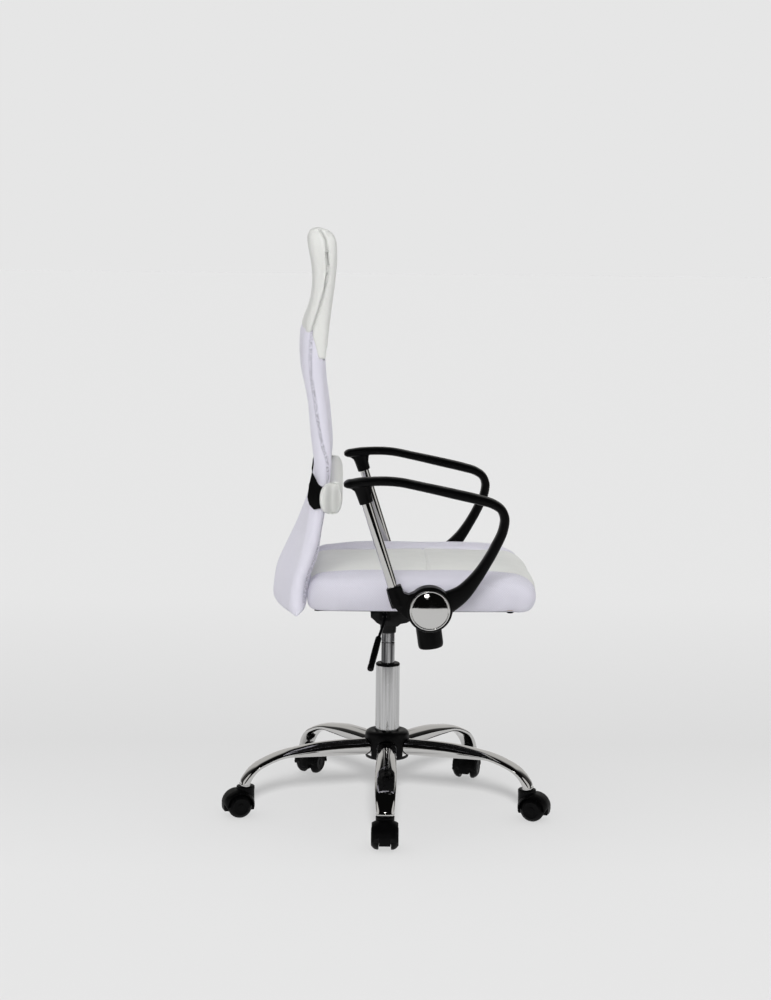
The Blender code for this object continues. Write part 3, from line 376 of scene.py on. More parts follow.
MATERIALS = {
    "chrome": chrome_material(),
    "satin": satin_material(),
    "cylinder": cylinder_material(),
    "steel": steel_material(),
    "plastic": plastic_material("black_plastic_moulded", (0.0008, 0.0008, 0.0009), 0.32, 0.44, 1500.0),
    "nylon": plastic_material("black_nylon_moulded", (0.0006, 0.0006, 0.0007), 0.38, 0.50, 1100.0),
    "paint": paint_material(),
    "wood": wood_material(),
    "leather": leather_material(),
}
NODE_LOOKS = {
    "steel": ("thrust_bearing", "piston_rod", "release_button", "tilt_pin", "tension_bolt",
              "tension_spring", "spring_washer", *(f"caster_stem_{k + 1}" for k in range(LEGS))),
    "paint": ("back_tube_left", "back_tube_right", "back_crossbar_bottom", "back_crossbar_top"),
    "wood": ("seat_board",),
}
for look, names in NODE_LOOKS.items():
    for name in names:
        node = frame["nodes"][name]
        for slot in node.material_slots:
            slot.material = MATERIALS[look]


# ---------------------------------------------------------------- mesh helpers
def made(name, verts, faces, look, body, slot, stands_for=(), sharp=None):
    """A piece from points and faces, shaded smooth, riding on a body."""
    mesh = bpy.data.meshes.new(name)
    mesh.from_pydata([tuple(v) for v in verts], [], faces)
    mesh.validate()
    return shown(name, mesh, look, body, stands_for, sharp)


def shown(name, mesh, look, body, stands_for=(), sharp=None):
    bm = bmesh.new()
    bm.from_mesh(mesh)
    bmesh.ops.recalc_face_normals(bm, faces=bm.faces)
    bm.to_mesh(mesh)
    bm.free()
    mesh.shade_smooth()
    if sharp is not None:
        mesh.set_sharp_from_angle(angle=math.radians(sharp))
    ob = in_scene(name, mesh)
    if look is not None:
        mesh.materials.clear()
        mesh.materials.append(MATERIALS[look])
    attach(ob, body)
    if stands_for:
        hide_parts(*stands_for)
    return ob


def catmull(points, per_span):
    """A smooth line through points, with per_span steps between each two."""
    pts = np.array(points, float)
    out = []
    for i in range(len(pts) - 1):
        p0, p1 = pts[max(i - 1, 0)], pts[i]
        p2, p3 = pts[i + 1], pts[min(i + 2, len(pts) - 1)]
        # centripetal-like tangents, so that unevenly spaced points don't overshoot
        d0, d1, d2 = (max(np.linalg.norm(b[:2] - a[:2]), 1e-6) for a, b in ((p0, p1), (p1, p2), (p2, p3)))
        m1 = (p2 - p1) if i == 0 else d1 * ((p2 - p1) / d1 * d0 + (p1 - p0) / d0 * d1) / (d0 + d1)
        last = i == len(pts) - 2
        m2 = (p2 - p1) if last else d1 * ((p3 - p2) / d2 * d1 + (p2 - p1) / d1 * d2) / (d1 + d2)
        for k in range(per_span):
            t = k / per_span
            out.append(
                p1 * (2 * t**3 - 3 * t**2 + 1) + p2 * (3 * t**2 - 2 * t**3)
                + m1 * (t**3 - 2 * t**2 + t) + m2 * (t**3 - t**2)
            )
    out.append(pts[-1])
    return np.array(out)


def table_curve(table):
    """A function that reads smooth values from rows of (position, value, ...)."""
    rows = np.array(table, float)
    fine = catmull(rows, 12)
    order = np.argsort(fine[:, 0])
    fine = fine[order]

    def at(position, column=1):
        return np.interp(position, fine[:, 0], fine[:, column])

    return at


def superellipse(half_u, half_v, power, count):
    angle = math.tau * (np.arange(count) + 0.5) / count
    c, s = np.cos(angle), np.sin(angle)
    return (np.sign(c) * np.abs(c) ** (2 / power) * half_u, np.sign(s) * np.abs(s) ** (2 / power) * half_v)


def skin(rings, close_ends=True, closed=True, wrap=False):
    """Points and faces of a surface through rings with the same number of points."""
    count = len(rings[0])
    verts = [p for ring in rings for p in ring]
    faces = []
    levels = len(rings)
    for r in range(levels if wrap else levels - 1):
        low, high = r * count, (r + 1) % levels * count
        for i in range(count if closed else count - 1):
            j = (i + 1) % count
            faces.append((low + i, low + j, high + j, high + i))
    if close_ends and not wrap:
        for r in (0, levels - 1):
            middle = len(verts)
            verts.append(np.mean(np.array(rings[r], float), axis=0))
            for i in range(count):
                faces.append((r * count + i, r * count + (i + 1) % count, middle))
    return verts, faces


FILLET_STEPS = 4


def filleted(profile, radius):
    """A polyline with its inner corners rounded."""
    pts = [Vector((*p, 0)) if len(p) == 2 else Vector(p) for p in profile]
    out = [pts[0]]
    for before, corner, after in zip(pts, pts[1:], pts[2:]):
        a, b = before - corner, after - corner
        cut = min(radius, 0.45 * a.length, 0.45 * b.length)
        start, end = corner + a.normalized() * cut, corner + b.normalized() * cut
        for k in range(FILLET_STEPS + 1):
            t = k / FILLET_STEPS
            out.append(start * (1 - t) ** 2 + corner * 2 * t * (1 - t) + end * t**2)
    out.append(pts[-1])
    return [(p.x, p.y) for p in out]


def lathe(profile, sides, fillet=0.0008, point=Vector(), axis=Vector((0, 0, 1)), closed=False):
    """Turns a profile of (radius, height) about an axis through a point."""
    profile = list(profile)
    if closed:  # start in the middle of the first edge, so that every corner is rounded
        first = tuple((a + b) / 2 for a, b in zip(profile[0], profile[-1]))
        line = filleted([first, *profile, first], fillet)[:-1]
    else:
        line = filleted(profile, fillet)
    turn = Vector((0, 0, 1)).rotation_difference(Vector(axis)).to_matrix()
    rings = []
    for radius, height in line:
        ring = []
        for i in range(sides):
            angle = math.tau * i / sides
            local = Vector((radius * math.cos(angle), radius * math.sin(angle), height))
            ring.append(tuple(Vector(point) + turn @ local))
        rings.append(ring)
    return skin(rings, close_ends=not closed, wrap=closed)


def sweep(stations, power, count):
    """A bar of rounded section along a line in the XZ plane. Each station is x, z, thickness, width."""
    line = np.array(stations, float)
    along = np.gradient(line[:, :2], axis=0)
    along /= np.linalg.norm(along, axis=1)[:, None]
    rings = []
    for (x, z, thick, width), (ax, az) in zip(line, along):
        u, v = superellipse(width / 2, thick / 2, power, count)
        rings.append(np.stack([x - az * v, u, z + ax * v], axis=1))
    return skin(rings)


def tube(points, radius, sides):
    """A round bar along points in space. radius is a number or one number for each point."""
    pts = np.array(points, float)
    radii = np.full(len(pts), radius) if np.isscalar(radius) else np.array(radius)
    along = np.gradient(pts, axis=0)
    along /= np.linalg.norm(along, axis=1)[:, None]
    side = np.array(Vector(along[0]).orthogonal().normalized())
    rings = []
    for p, d, r in zip(pts, along, radii):
        side = side - d * side.dot(d)
        side /= np.linalg.norm(side)
        other = np.cross(d, side)
        angle = math.tau * np.arange(sides) / sides
        rings.append(p + r * (np.outer(np.cos(angle), side) + np.outer(np.sin(angle), other)))
    return skin(rings)


def joined(*parts):
    """Several (points, faces) as one."""
    verts, faces = [], []
    for v, f in parts:
        base = len(verts)
        verts += [tuple(p) for p in v]
        faces += [tuple(i + base for i in face) for face in f]
    return verts, faces


def prism(outline, low, high):
    """An outline in the XZ plane, extruded along Y."""
    count = len(outline)
    verts = [(x, low, z) for x, z in outline] + [(x, high, z) for x, z in outline]
    faces = [tuple(range(count)), tuple(range(2 * count - 1, count - 1, -1))]
    for i in range(count):
        j = (i + 1) % count
        faces.append((i, j, count + j, count + i))
    return verts, faces


def transformed(part, matrix):
    verts, faces = part
    return [tuple(matrix @ Vector(v)) for v in verts], faces


def mirrored(part):
    verts, faces = part
    return [(x, -y, z) for x, y, z in verts], faces


def in_scene(name, data):
    ob = bpy.data.objects.new(name, data)
    bpy.context.scene.collection.objects.link(ob)
    return ob


def turned_outwards(mesh):
    """Makes every face look out of the shape, also when the shape is open at one end."""
    bm = bmesh.new()
    bm.from_mesh(mesh)
    bmesh.ops.recalc_face_normals(bm, faces=bm.faces)
    middle = sum((v.co for v in bm.verts), Vector()) / len(bm.verts)
    if sum((f.calc_center_median() - middle).dot(f.normal) * f.calc_area() for f in bm.faces) < 0:
        bmesh.ops.reverse_faces(bm, faces=bm.faces)
    bm.to_mesh(mesh)
    bm.free()


def work_object(name, part):
    """An object to shape with modifiers. It isn't part of the chair until its mesh is used."""
    mesh = bpy.data.meshes.new(name)
    mesh.from_pydata([tuple(v) for v in part[0]], [], part[1])
    turned_outwards(mesh)
    return in_scene(name, mesh)


def baked(ob):
    """The object's mesh with its modifiers applied. The object itself is removed."""
    bpy.context.view_layer.update()
    graph = bpy.context.evaluated_depsgraph_get()
    mesh = bpy.data.meshes.new_from_object(ob.evaluated_get(graph))
    bpy.data.objects.remove(ob, do_unlink=True)
    return mesh


def cut(ob, tool, operation="DIFFERENCE"):
    """Adds or takes away a shape, and removes the tool."""
    tool_ob = work_object("tool", tool)
    step = ob.modifiers.new("step", "BOOLEAN")
    step.operation = operation
    step.solver = "EXACT"
    step.object = tool_ob
    bpy.context.view_layer.update()
    graph = bpy.context.evaluated_depsgraph_get()
    mesh = bpy.data.meshes.new_from_object(ob.evaluated_get(graph))
    ob.modifiers.clear()
    ob.data = mesh
    bpy.data.objects.remove(tool_ob, do_unlink=True)


def moulded(ob, voxel, smooth):
    """Melts joined shapes into one moulding with soft inner corners."""
    remesh = ob.modifiers.new("remesh", "REMESH")
    remesh.mode = "VOXEL"
    remesh.voxel_size = voxel
    soften = ob.modifiers.new("soften", "SMOOTH")
    soften.iterations = smooth
    return baked(ob)


def bevelled(ob, width, segments=3, angle=30):
    step = ob.modifiers.new("bevel", "BEVEL")
    step.width = width
    step.segments = segments
    step.limit_method = "ANGLE"
    step.angle_limit = math.radians(angle)
    step.harden_normals = False
    return baked(ob)


def softened(name, node_name, look, body, width=0.0008):
    """A CAD node's own shape with its hard edges rounded."""
    mesh = frame["nodes"][node_name].data.copy()
    bm = bmesh.new()
    bm.from_mesh(mesh)
    bmesh.ops.remove_doubles(bm, verts=bm.verts, dist=1e-5)
    bmesh.ops.dissolve_limit(bm, angle_limit=math.radians(1), verts=bm.verts, edges=bm.edges)
    bm.to_mesh(mesh)
    bm.free()
    mesh = bevelled(in_scene(name + "_work", mesh), width)
    return shown(name, mesh, look, body, (node_name,), sharp=40)


# ---------------------------------------------------------------- base
LEG_POWER, LEG_CORNERS = 2.3, 48  # a leg's section: a superellipse, with this many points
# the rounded end of a leg: how far above the last station, how much larger than it
LEG_TIP = ((0.0012, -0.0008), (0.0008, 0.0006), (-0.0008, 0.0008), (-0.0020, 0.0004), (-0.0022, -0.001))


def make_legs():
    bar = sweep(catmull(LEG_STATIONS, 8), LEG_POWER, LEG_CORNERS)
    x, z, thick, width = LEG_STATIONS[-1]
    rings = []
    for rise, grow in LEG_TIP:
        u, v = superellipse(width / 2 + grow, thick / 2 + grow, LEG_POWER, LEG_CORNERS)
        rings.append(np.stack([x + v, u, np.full(LEG_CORNERS, z + rise)], axis=1))
    leg = joined(bar, skin(rings))
    for k in range(LEGS):
        part = transformed(leg, Matrix.Rotation(LEG_TURN + math.tau * k / LEGS, 4, "Z"))
        made(f"base_leg_{k + 1}", *part, "chrome", "base", "chrome", ("star_base",), sharp=50)


def make_hub_cover():
    r = HUB_COVER_R
    outer = (
        (0.0256, 0.1620), (0.0375, 0.1620), (0.0425, 0.1600), (0.0452, 0.1560), (r, 0.1500), (r, 0.1120),
        (0.0445, 0.1050), (0.0425, 0.1050), (0.0425, 0.1500), (0.0400, 0.1550), (0.0256, 0.1580),
    )
    ob = work_object("cover", lathe(outer, 96, fillet=0.0025, closed=True))
    half_width, springing, rise = 0.0208, 0.129, 0.0176
    arch = [(-half_width, COVER_RIM_Z)]
    for i in range(17):
        angle = math.pi * i / 16
        arch.append((-half_width * math.cos(angle), springing + rise * math.sin(angle) ** 0.77))
    arch.append((half_width, COVER_RIM_Z))
    for k in range(LEGS):
        turn = Matrix.Rotation(LEG_TURN + math.tau * k / LEGS - math.pi / 2, 4, "Z")
        cut(ob, transformed(prism(arch, 0.032, 0.060), turn))
    mesh = bevelled(ob, 0.0007, 2, 50)
    shown("hub_cover_shell", mesh, "plastic", "base", ("hub_cover",), sharp=35)


def make_hub_sleeve():
    """The steel ring that the five legs are welded to, seen from below."""
    ring = ((0.0254, 0.1110), (0.0360, 0.1110), (0.0360, 0.1500), (0.0254, 0.1500))
    made("base_hub_sleeve", *lathe(ring, 80, fillet=0.0010, closed=True),
         "steel", "base", "chrome", ("star_base",), sharp=50)


def wheel_part():
    """One wheel about Z, from its inner face outwards."""
    tread, bore = WHEEL_R, 0.0046
    profile = (
        (0.0, 0.0264), (0.0060, 0.0264), (0.0072, 0.0256), (0.0150, 0.0262), (0.0166, 0.0270),
        (0.0176, 0.0264), (0.0196, 0.0250), (0.0222, 0.0225), (0.0243, 0.0190), (tread, 0.0165),
        (tread, 0.0128), (0.0240, 0.0120), (0.0100, 0.0120), (bore, 0.0123), (bore, 0.0220), (0.0, 0.0220),
    )
    return lathe(profile, 56, fillet=0.0012)


def hood_mesh():
    """The caster's moulded body in the caster's own axes: stem on Z, wheels trailing along +X."""
    about_axle = Matrix.Translation((CASTER_TRAIL, 0, WHEEL_R)) @ Matrix.Rotation(math.pi / 2, 4, "X")
    drum = ((0, -0.0276), (0.0262, -0.0276), (0.0300, -0.0215), (0.0325, -0.0120), (0.0328, 0.0),
            (0.0325, 0.0120), (0.0300, 0.0215), (0.0262, 0.0276), (0, 0.0276))
    ob = work_object("hood", transformed(lathe(drum, 72, fillet=0.003), about_axle))
    collar = ((0, 0.020), (0.0182, 0.020), (0.0182, 0.0545), (0.0186, 0.0560), (0.0186, 0.0620),
              (0.0172, 0.0634), (0, 0.0634))
    cut(ob, lathe(collar, 56, fillet=0.0008), "UNION")
    under = [(-0.06, -0.02), (0.08, -0.02), (0.08, 0.0172), (-0.06, 0.0172)]
    by_stem = [(-0.06, 0.0100), (-0.0040, 0.0148), (-0.0170, 0.0310), (-0.0215, 0.0365), (-0.06, 0.0365)]
    trailing = [(0.0400, 0.0100), (0.08, 0.0100), (0.08, 0.0285), (0.0462, 0.0285), (0.0400, 0.0165)]
    well_r = WHEEL_R + 0.0013
    for side in (-1, 1):
        low, high = sorted((side * 0.0113, side * 0.05))
        for outline in (under, by_stem, trailing):
            cut(ob, prism(outline, low, high))
        well = lathe(((0, low), (well_r, low), (well_r, high), (0, high)), 64, fillet=0.0002)
        cut(ob, transformed(well, about_axle))
    middle = [(-0.06, -0.02), (0.08, -0.02), (0.08, 0.0138), (-0.06, 0.0138)]
    cut(ob, prism(middle, -0.02, 0.02))
    stub = lathe(((0, -0.0218), (0.0038, -0.0218), (0.0038, 0.0218), (0, 0.0218)), 20, fillet=0.0003)
    cut(ob, transformed(stub, about_axle), "UNION")
    return moulded(ob, 0.0009, smooth=3)


def make_casters():
    hood = hood_mesh()
    wheel = wheel_part()
    for k in range(LEGS):
        direction = LEG_TURN + math.tau * k / LEGS
        place = Matrix.Translation((STEM_R * math.cos(direction), STEM_R * math.sin(direction), 0))
        place = place @ Matrix.Rotation(CASTER_HEADINGS[k], 4, "Z")
        own = hood.copy()
        own.transform(place)
        shown(f"caster_{k + 1}_hood", own, "nylon", f"caster_{k + 1}",
              (f"caster_hood_{k + 1}",))
        for side, letter in ((1, "left"), (-1, "right")):
            axle = Matrix.Translation((CASTER_TRAIL, 0, WHEEL_R))
            turn = Matrix.Rotation(-side * math.pi / 2, 4, "X")
            part = transformed(wheel, place @ axle @ turn)
            made(f"caster_{k + 1}_wheel_{letter}", *part, "nylon", f"wheel_{k + 1}_{letter}", "black_nylon",
                 (f"wheel_{k + 1}_{letter}",), sharp=50)


# ---------------------------------------------------------------- gas lift and mechanism
def make_gas_lift():
    outer = ((0.0225, 0.1002), (TUBE_R, 0.1002), (TUBE_R, TUBE_TOP_Z), (0.0225, TUBE_TOP_Z))
    made("lift_outer_tube", *lathe(outer, 96, closed=True),
         "satin", "base", "satin_chrome", ("gas_outer_tube",), sharp=50)
    high, on_tube = BUSH_TOP_Z, TUBE_TOP_Z + 0.0002
    bush = ((0.0143, high), (0.0228, high), (0.0246, high - 0.0012), (0.0251, high - 0.0026),
            (0.0251, on_tube), (0.0223, on_tube), (0.0222, 0.212), (0.0143, 0.212))
    made("lift_bush", *lathe(bush, 80, fillet=0.0006, closed=True),
         "plastic", "base", "black_plastic", ("gas_bush",), sharp=50)
    inner = (
        (0, 0.166), (0.0128, 0.166), (INNER_R, 0.168), (INNER_R, 0.3474), (0.0133, 0.3482), (0.0133, 0.3496),
        (INNER_R, 0.3504), (0.0138, 0.3600), (0.0129, 0.3995), (0.0045, 0.3998), (0.0045, 0.387), (0, 0.387),
    )
    made("lift_cylinder", *lathe(inner, 80, fillet=0.0004),
         "cylinder", "mechanism", "chrome", ("gas_cylinder",), sharp=50)


def make_mechanism():
    softened("mechanism_housing_pressing", "mechanism_housing", "paint", "mechanism", 0.0009)
    for name in ("seat_plate", "arm_bracket_left", "arm_bracket_right", "back_bracket"):
        softened(name + "_pressing", name, "paint", "seat", 0.0009)
    softened("lock_bar_forged", "lock_bar", "steel", "lock_slider", 0.0004)
    socket = ((0.0139, 0.3676), (0.0161, 0.3676), (0.0165, 0.3700), (0.0168, 0.3840), (0.0185, 0.3874),
              (0.0240, 0.3890), (0.0240, 0.3900), (0.0139, 0.3900))
    made("column_socket", *lathe(socket, 72, fillet=0.0008, closed=True),
         "paint", "mechanism", "black_paint", sharp=50)


def make_knob():
    r = KNOB_R
    profile = (
        (0.0235, -0.0420), (0.0235, 0.0), (0.0254, 0.0006), (r, -0.0014), (r, -0.0405), (0.0259, -0.0445),
        (0.0248, -0.0478), (0.0225, -0.0494), (0.0100, -0.0512), (0.0, -0.0515),
    )
    part = lathe(profile, 96, fillet=0.0010, point=KNOB_TOP, axis=KNOB_UP)
    inner = ((0.0, -0.0470), (0.0055, -0.0470), (0.0055, -0.0385), (0.0090, -0.0385), (0.0090, -0.0420),
             (0.0235, -0.0420))
    made("tension_knob_cup", *joined(part, lathe(inner, 48, fillet=0.0003, point=KNOB_TOP, axis=KNOB_UP)),
         "plastic", "tension_knob", "black_plastic", ("tension_knob",), sharp=50)


def make_lever():
    line = catmull(LEVER_ROUTE, 6)
    made("lever_rod_bent", *tube(line, 0.003, 20), "paint", "lever", "black_paint", ("lever_rod",), sharp=60)
    # painted shade: a black plate with a slit for the rod shuts the housing's window, standing in for the
    # shade inside it
    window = [(-0.0190, 0.3995), (0.0030, 0.3995), (0.0030, 0.4195), (-0.0190, 0.4195)]
    boot = work_object("boot", prism(window, -0.0414, -0.0402))
    slit = [(-0.0122, 0.4040), (-0.0040, 0.4040), (-0.0040, 0.4158), (-0.0122, 0.4158)]
    cut(boot, prism(slit, -0.05, -0.03))
    shown("lever_boot", bevelled(boot, 0.0003, 1, 40), "plastic", "mechanism", sharp=40)
    start, end = GRIP_ENDS
    length = (end - start).length
    profile = [(0, -0.0005), (0.0048, 0.0), (0.0060, 0.0025)]
    for i in range(GRIP_RIBS):
        at = 0.010 + (length - 0.024) * i / GRIP_RIBS
        rib = 0.0061 + 0.0007 * math.sin(math.pi * (i + 1) / (GRIP_RIBS + 1))
        valley = rib - 0.00045
        profile += [(rib, at), (rib, at + 0.0040), (valley, at + 0.0046), (valley, at + 0.0056)]
    profile += [(0.0066, length - 0.010), (0.0066, length - 0.0025), (0.0054, length), (0, length)]
    grip = lathe(profile, 40, fillet=0.0004, point=start, axis=(end - start).normalized())
    made("lever_grip_ribbed", *grip, "plastic", "lever", "black_plastic", ("lever_grip",), sharp=60)


# ---------------------------------------------------------------- armrests
def arm_part():
    """The left armrest's moulding: pad and limb in one bow, hub disc, web and two post sockets."""
    down = (POST_BOTTOM - POST_TOP).normalized()
    to_arm = Matrix.Translation((0, ARM_Y, 0))
    bow = transformed(sweep(catmull(ARM_STATIONS, 6), 2.8, 40), to_arm)
    r = ARM_HUB_R
    hub = ((0, -0.020), (r - 0.003, -0.020), (r, -0.017), (r, 0.0150), (r - 0.0032, 0.0181), (0, 0.0181))
    disc = lathe(hub, 96, fillet=0.0015, point=ARM_HUB, axis=ACROSS)
    web = prism(ARM_WEB, ARM_Y - 0.0145, ARM_Y + 0.0135)
    above = ((0, -0.040), (0.0165, -0.036), (0.0146, -0.020), (0.0136, -0.001), (0.0130, 0.0), (0, 0.0))
    boss = lathe(above, 48, fillet=0.003, point=POST_TOP, axis=down)
    below = ((0, -0.0005), (0.0130, -0.0005), (0.0138, 0.002), (0.0150, 0.022), (0.0150, 0.040), (0, 0.040))
    foot = lathe(below, 48, fillet=0.002, point=POST_BOTTOM, axis=down)
    flare = [(-0.0925, 0.7060), (-0.0800, 0.7022), (-0.0715, 0.6965), (-0.0685, 0.6905), (-0.0560, 0.6800),
             (-0.0420, 0.6850), (-0.0400, 0.7120), (-0.0850, 0.7120)]
    gusset = prism(flare, ARM_Y - 0.010, ARM_Y + 0.010)
    ob = work_object("arm_work", joined(bow, disc, web, boss, foot, gusset))
    mesh = moulded(ob, 0.0013, smooth=4)
    ob = in_scene("arm_work", mesh)
    bore_r = POST_R + 0.0004
    for point, low, high in ((POST_TOP, -0.018, 0.010), (POST_BOTTOM, -0.020, 0.018)):
        bore = ((0, low), (bore_r, low), (bore_r, high), (0, high))
        cut(ob, lathe(bore, 40, fillet=0.0001, point=point, axis=down))
    return baked(ob)


def make_armrests():
    down = (POST_BOTTOM - POST_TOP).normalized()
    length = (POST_BOTTOM - POST_TOP).length
    left = arm_part()
    for side, name in ((1, "left"), (-1, "right")):
        mesh = left.copy()
        if side < 0:
            mesh.transform(Matrix.Scale(-1, 4, (0, 1, 0)))
        shown(f"armrest_{name}", mesh, "plastic", "seat", (f"arm_loop_{name}",), sharp=50)
        post = ((0.0085, -0.0176), (POST_R, -0.0176), (POST_R, length + 0.0176), (0.0085, length + 0.0176))
        post = lathe(post, 56, fillet=0.0004, point=POST_TOP, axis=down, closed=True)
        dome = [(r, 0.0280 - 0.0042 * (r / 0.0345) ** 2) for r in np.linspace(0.0345, 0.0, 12)]
        cap = [(0, 0.0183), (0.0392, 0.0183), (0.0392, 0.0220), (0.0384, 0.0232), (0.0370, 0.0236),
               (0.0358, 0.0228), (0.0352, 0.0229), *dome]
        cap = lathe(cap, 96, fillet=0.0006, point=ARM_HUB, axis=ACROSS)
        if side < 0:
            post, cap = mirrored(post), mirrored(cap)
        made(f"armrest_post_{name}", *post, "chrome", "seat", "chrome", (f"arm_post_{name}",), sharp=50)
        made(f"armrest_cap_{name}", *cap, "chrome", "seat", "chrome", (f"arm_cap_{name}",), sharp=60)


make_legs()
make_hub_sleeve()
make_hub_cover()
make_casters()
make_gas_lift()
make_mechanism()
make_knob()
make_lever()
make_armrests()

# ---------------------------------------------------------------- soft goods
back_x = table_curve(BACK_LINE)
back_bow = table_curve(BACK_BOW)
sleeve_half = table_curve(SLEEVE_HALF)


def finer(ob):
    """The mesh of a work object, subdivided once."""
    step = ob.modifiers.new("finer", "SUBSURF")
    step.levels = 1
    return baked(ob)


CLOTH_STIFFNESS = 14.0


def puffed(ob, pinned, pressure, cap, frames=16):
    """Blows a sewn cover up by cloth simulation, held at its seams. No point moves further than cap."""
    before = np.empty(len(ob.data.vertices) * 3)
    ob.data.vertices.foreach_get("co", before)
    outward = np.empty_like(before)
    ob.data.vertices.foreach_get("normal", outward)
    outward = outward.reshape(-1, 3)
    group = ob.vertex_groups.new(name="seams")
    group.add([int(i) for i in pinned], 1.0, "ADD")
    cloth = ob.modifiers.new("cloth", "CLOTH")
    settings = cloth.settings
    settings.quality = 6
    settings.mass = 0.25
    settings.tension_stiffness = CLOTH_STIFFNESS
    settings.compression_stiffness = CLOTH_STIFFNESS
    settings.shear_stiffness = CLOTH_STIFFNESS * 0.6
    settings.bending_stiffness = 0.6
    settings.tension_damping = 8.0
    settings.use_pressure = True
    settings.uniform_pressure_force = pressure
    settings.vertex_group_mass = "seams"
    settings.pin_stiffness = 1.0
    settings.effector_weights.gravity = 0.0
    cloth.collision_settings.use_collision = False
    cloth.point_cache.frame_start = 1
    cloth.point_cache.frame_end = frames
    scene = bpy.context.scene
    for f in range(1, frames + 1):
        scene.frame_set(f)
    graph = bpy.context.evaluated_depsgraph_get()
    after = np.empty_like(before)
    ob.evaluated_get(graph).data.vertices.foreach_get("co", after)
    ob.modifiers.remove(cloth)
    scene.frame_set(1)
    move = (after - before).reshape(-1, 3)
    inwards = np.minimum(0, (move * outward).sum(axis=1))
    move -= outward * inwards[:, None]  # the filling stops the cover from going in
    far = np.linalg.norm(move, axis=1)
    share = np.where(far > 1e-9, cap * np.tanh(far / cap) / np.maximum(far, 1e-9), 0.0)
    ob.data.vertices.foreach_set("co", (before.reshape(-1, 3) + move * share[:, None]).ravel())


def shaped(mesh, change):
    """Moves every point of a mesh by a function of all the points' places and normals."""
    count = len(mesh.vertices)
    place, normal = np.empty(count * 3), np.empty(count * 3)
    mesh.vertices.foreach_get("co", place)
    mesh.vertices.foreach_get("normal", normal)
    place, normal = place.reshape(-1, 3), normal.reshape(-1, 3)
    mesh.vertices.foreach_set("co", change(place, normal).ravel())
    mesh.update()


def marked(mesh, amount):
    """Stores on each point how much painted shade darkens the leatherette there, from 0 to 1."""
    place = np.empty(len(mesh.vertices) * 3)
    mesh.vertices.foreach_get("co", place)
    layer = mesh.attributes.new("painted_shade", "FLOAT", "POINT")
    layer.data.foreach_set("value", amount(place.reshape(-1, 3)))


def ripple(place, scale, seed):
    """Smooth waves of about -1 to 1, the same in each run."""
    rng = np.random.default_rng(seed)
    total = np.zeros(len(place))
    for _ in range(9):
        way = rng.normal(size=3)
        way *= scale * rng.uniform(0.6, 1.5) / np.linalg.norm(way)
        total += np.sin(place @ way + rng.uniform(0, math.tau))
    return total / 4.0


def distance_to_line(points, line):
    """Distance in a plane from each point to a polyline."""
    best = np.full(len(points), 1e9)
    for a, b in zip(line[:-1], line[1:]):
        a, b = np.array(a), np.array(b)
        t = np.clip(((points - a) @ (b - a)) / ((b - a) @ (b - a)), 0, 1)
        best = np.minimum(best, np.linalg.norm(points - (a + t[:, None] * (b - a)), axis=1))
    return best


def groove(far, width, depth):
    return depth * np.exp(-((far / width) ** 2))


# mesh sleeve over the back
SLEEVE_LOW, SLEEVE_HIGH = 0.4440, 1.018
SLEEVE_END_Y = 0.0190
FRONT_STEPS, SIDE_STEPS = 25, 24  # across the front or the rear, and round a side tube
# the headrest's lower hem: across the front, y and height; and from the side seam to the rear
FRONT_HEM = ((0.0, 0.929), (0.06, 0.930), (0.12, 0.934), (0.17, 0.939), (0.22, 0.946), (0.240, 0.949))
SIDE_HEM_Z = 1.0005


def sleeve_half_ring(z):
    """Half of the sleeve's section on the +Y side, from the front's middle to the rear's middle."""
    front, rear = sleeve_half(z, 1), sleeve_half(z, 2)
    low = max(0.0, min(1.0, (z - SLEEVE_LOW + 0.0004) / 0.016))
    shut = math.sqrt(1 - (1 - low) ** 2)
    ahead, behind, side = [], [], []
    for y in np.linspace(0, BACK_TUBE_Y, FRONT_STEPS + 1)[:-1]:
        pull = 1 - 0.10 * math.sin(math.pi * y / BACK_TUBE_Y) * min(1, (z - SLEEVE_LOW) / 0.1)
        ahead.append((front * shut * pull, y))
        behind.append((-rear * shut * pull, y))
    for a in np.linspace(0, math.pi, SIDE_STEPS + 1):
        depth = front if a < math.pi / 2 else rear
        side.append((depth * shut * math.cos(a), BACK_TUBE_Y + SLEEVE_END_Y * math.sin(a)))
    points = ahead + side + behind[::-1]
    x, bow = back_x(z), back_bow(z)
    # in front the cloth spans straight from tube to tube; behind it lies on the bowed crossbar
    tight = np.interp(z, (SLEEVE_LOW, 0.452, 0.470, 0.640, 0.80), (1.0, 0.85, 0.20, 0.35, 1.0))
    swell = np.interp(z, (0.446, 0.454, 0.470, 0.560, 0.610), (0.0, 0.0060, 0.0082, 0.0082, 0.0))
    out = []
    for k, (dx, y) in enumerate(points):
        share = tight if k < FRONT_STEPS + SIDE_STEPS // 2 else 1.0
        dx -= share * bow * (1 - min(1, y / BACK_TUBE_Y) ** 2)
        if k <= FRONT_STEPS:
            dx += swell * np.interp(y, (0.02, 0.10, 0.150, 0.208, 0.222), (0.0, 0.5, 1.0, 1.0, 0.5))
        tuck = 0.0075 * np.interp(z, tuck_heights(k, y), (0.0, 1.0))
        dx -= math.copysign(tuck, dx) * min(1, abs(dx) / 0.012)
        out.append((x + dx, y - tuck * max(0, y - BACK_TUBE_Y) / SLEEVE_END_Y, z))
    return out


def tuck_heights(k, y):
    """Between these heights the cloth goes in under the headrest's hem: lower in front than at the rear."""
    first = FRONT_STEPS + 1
    if k <= first:
        low = np.interp(y, *np.array(FRONT_HEM).T)
    else:
        low = np.interp(k, (first, first + SIDE_STEPS // 2), (FRONT_HEM[-1][1], SIDE_HEM_Z))
    return low + 0.001, low + 0.016


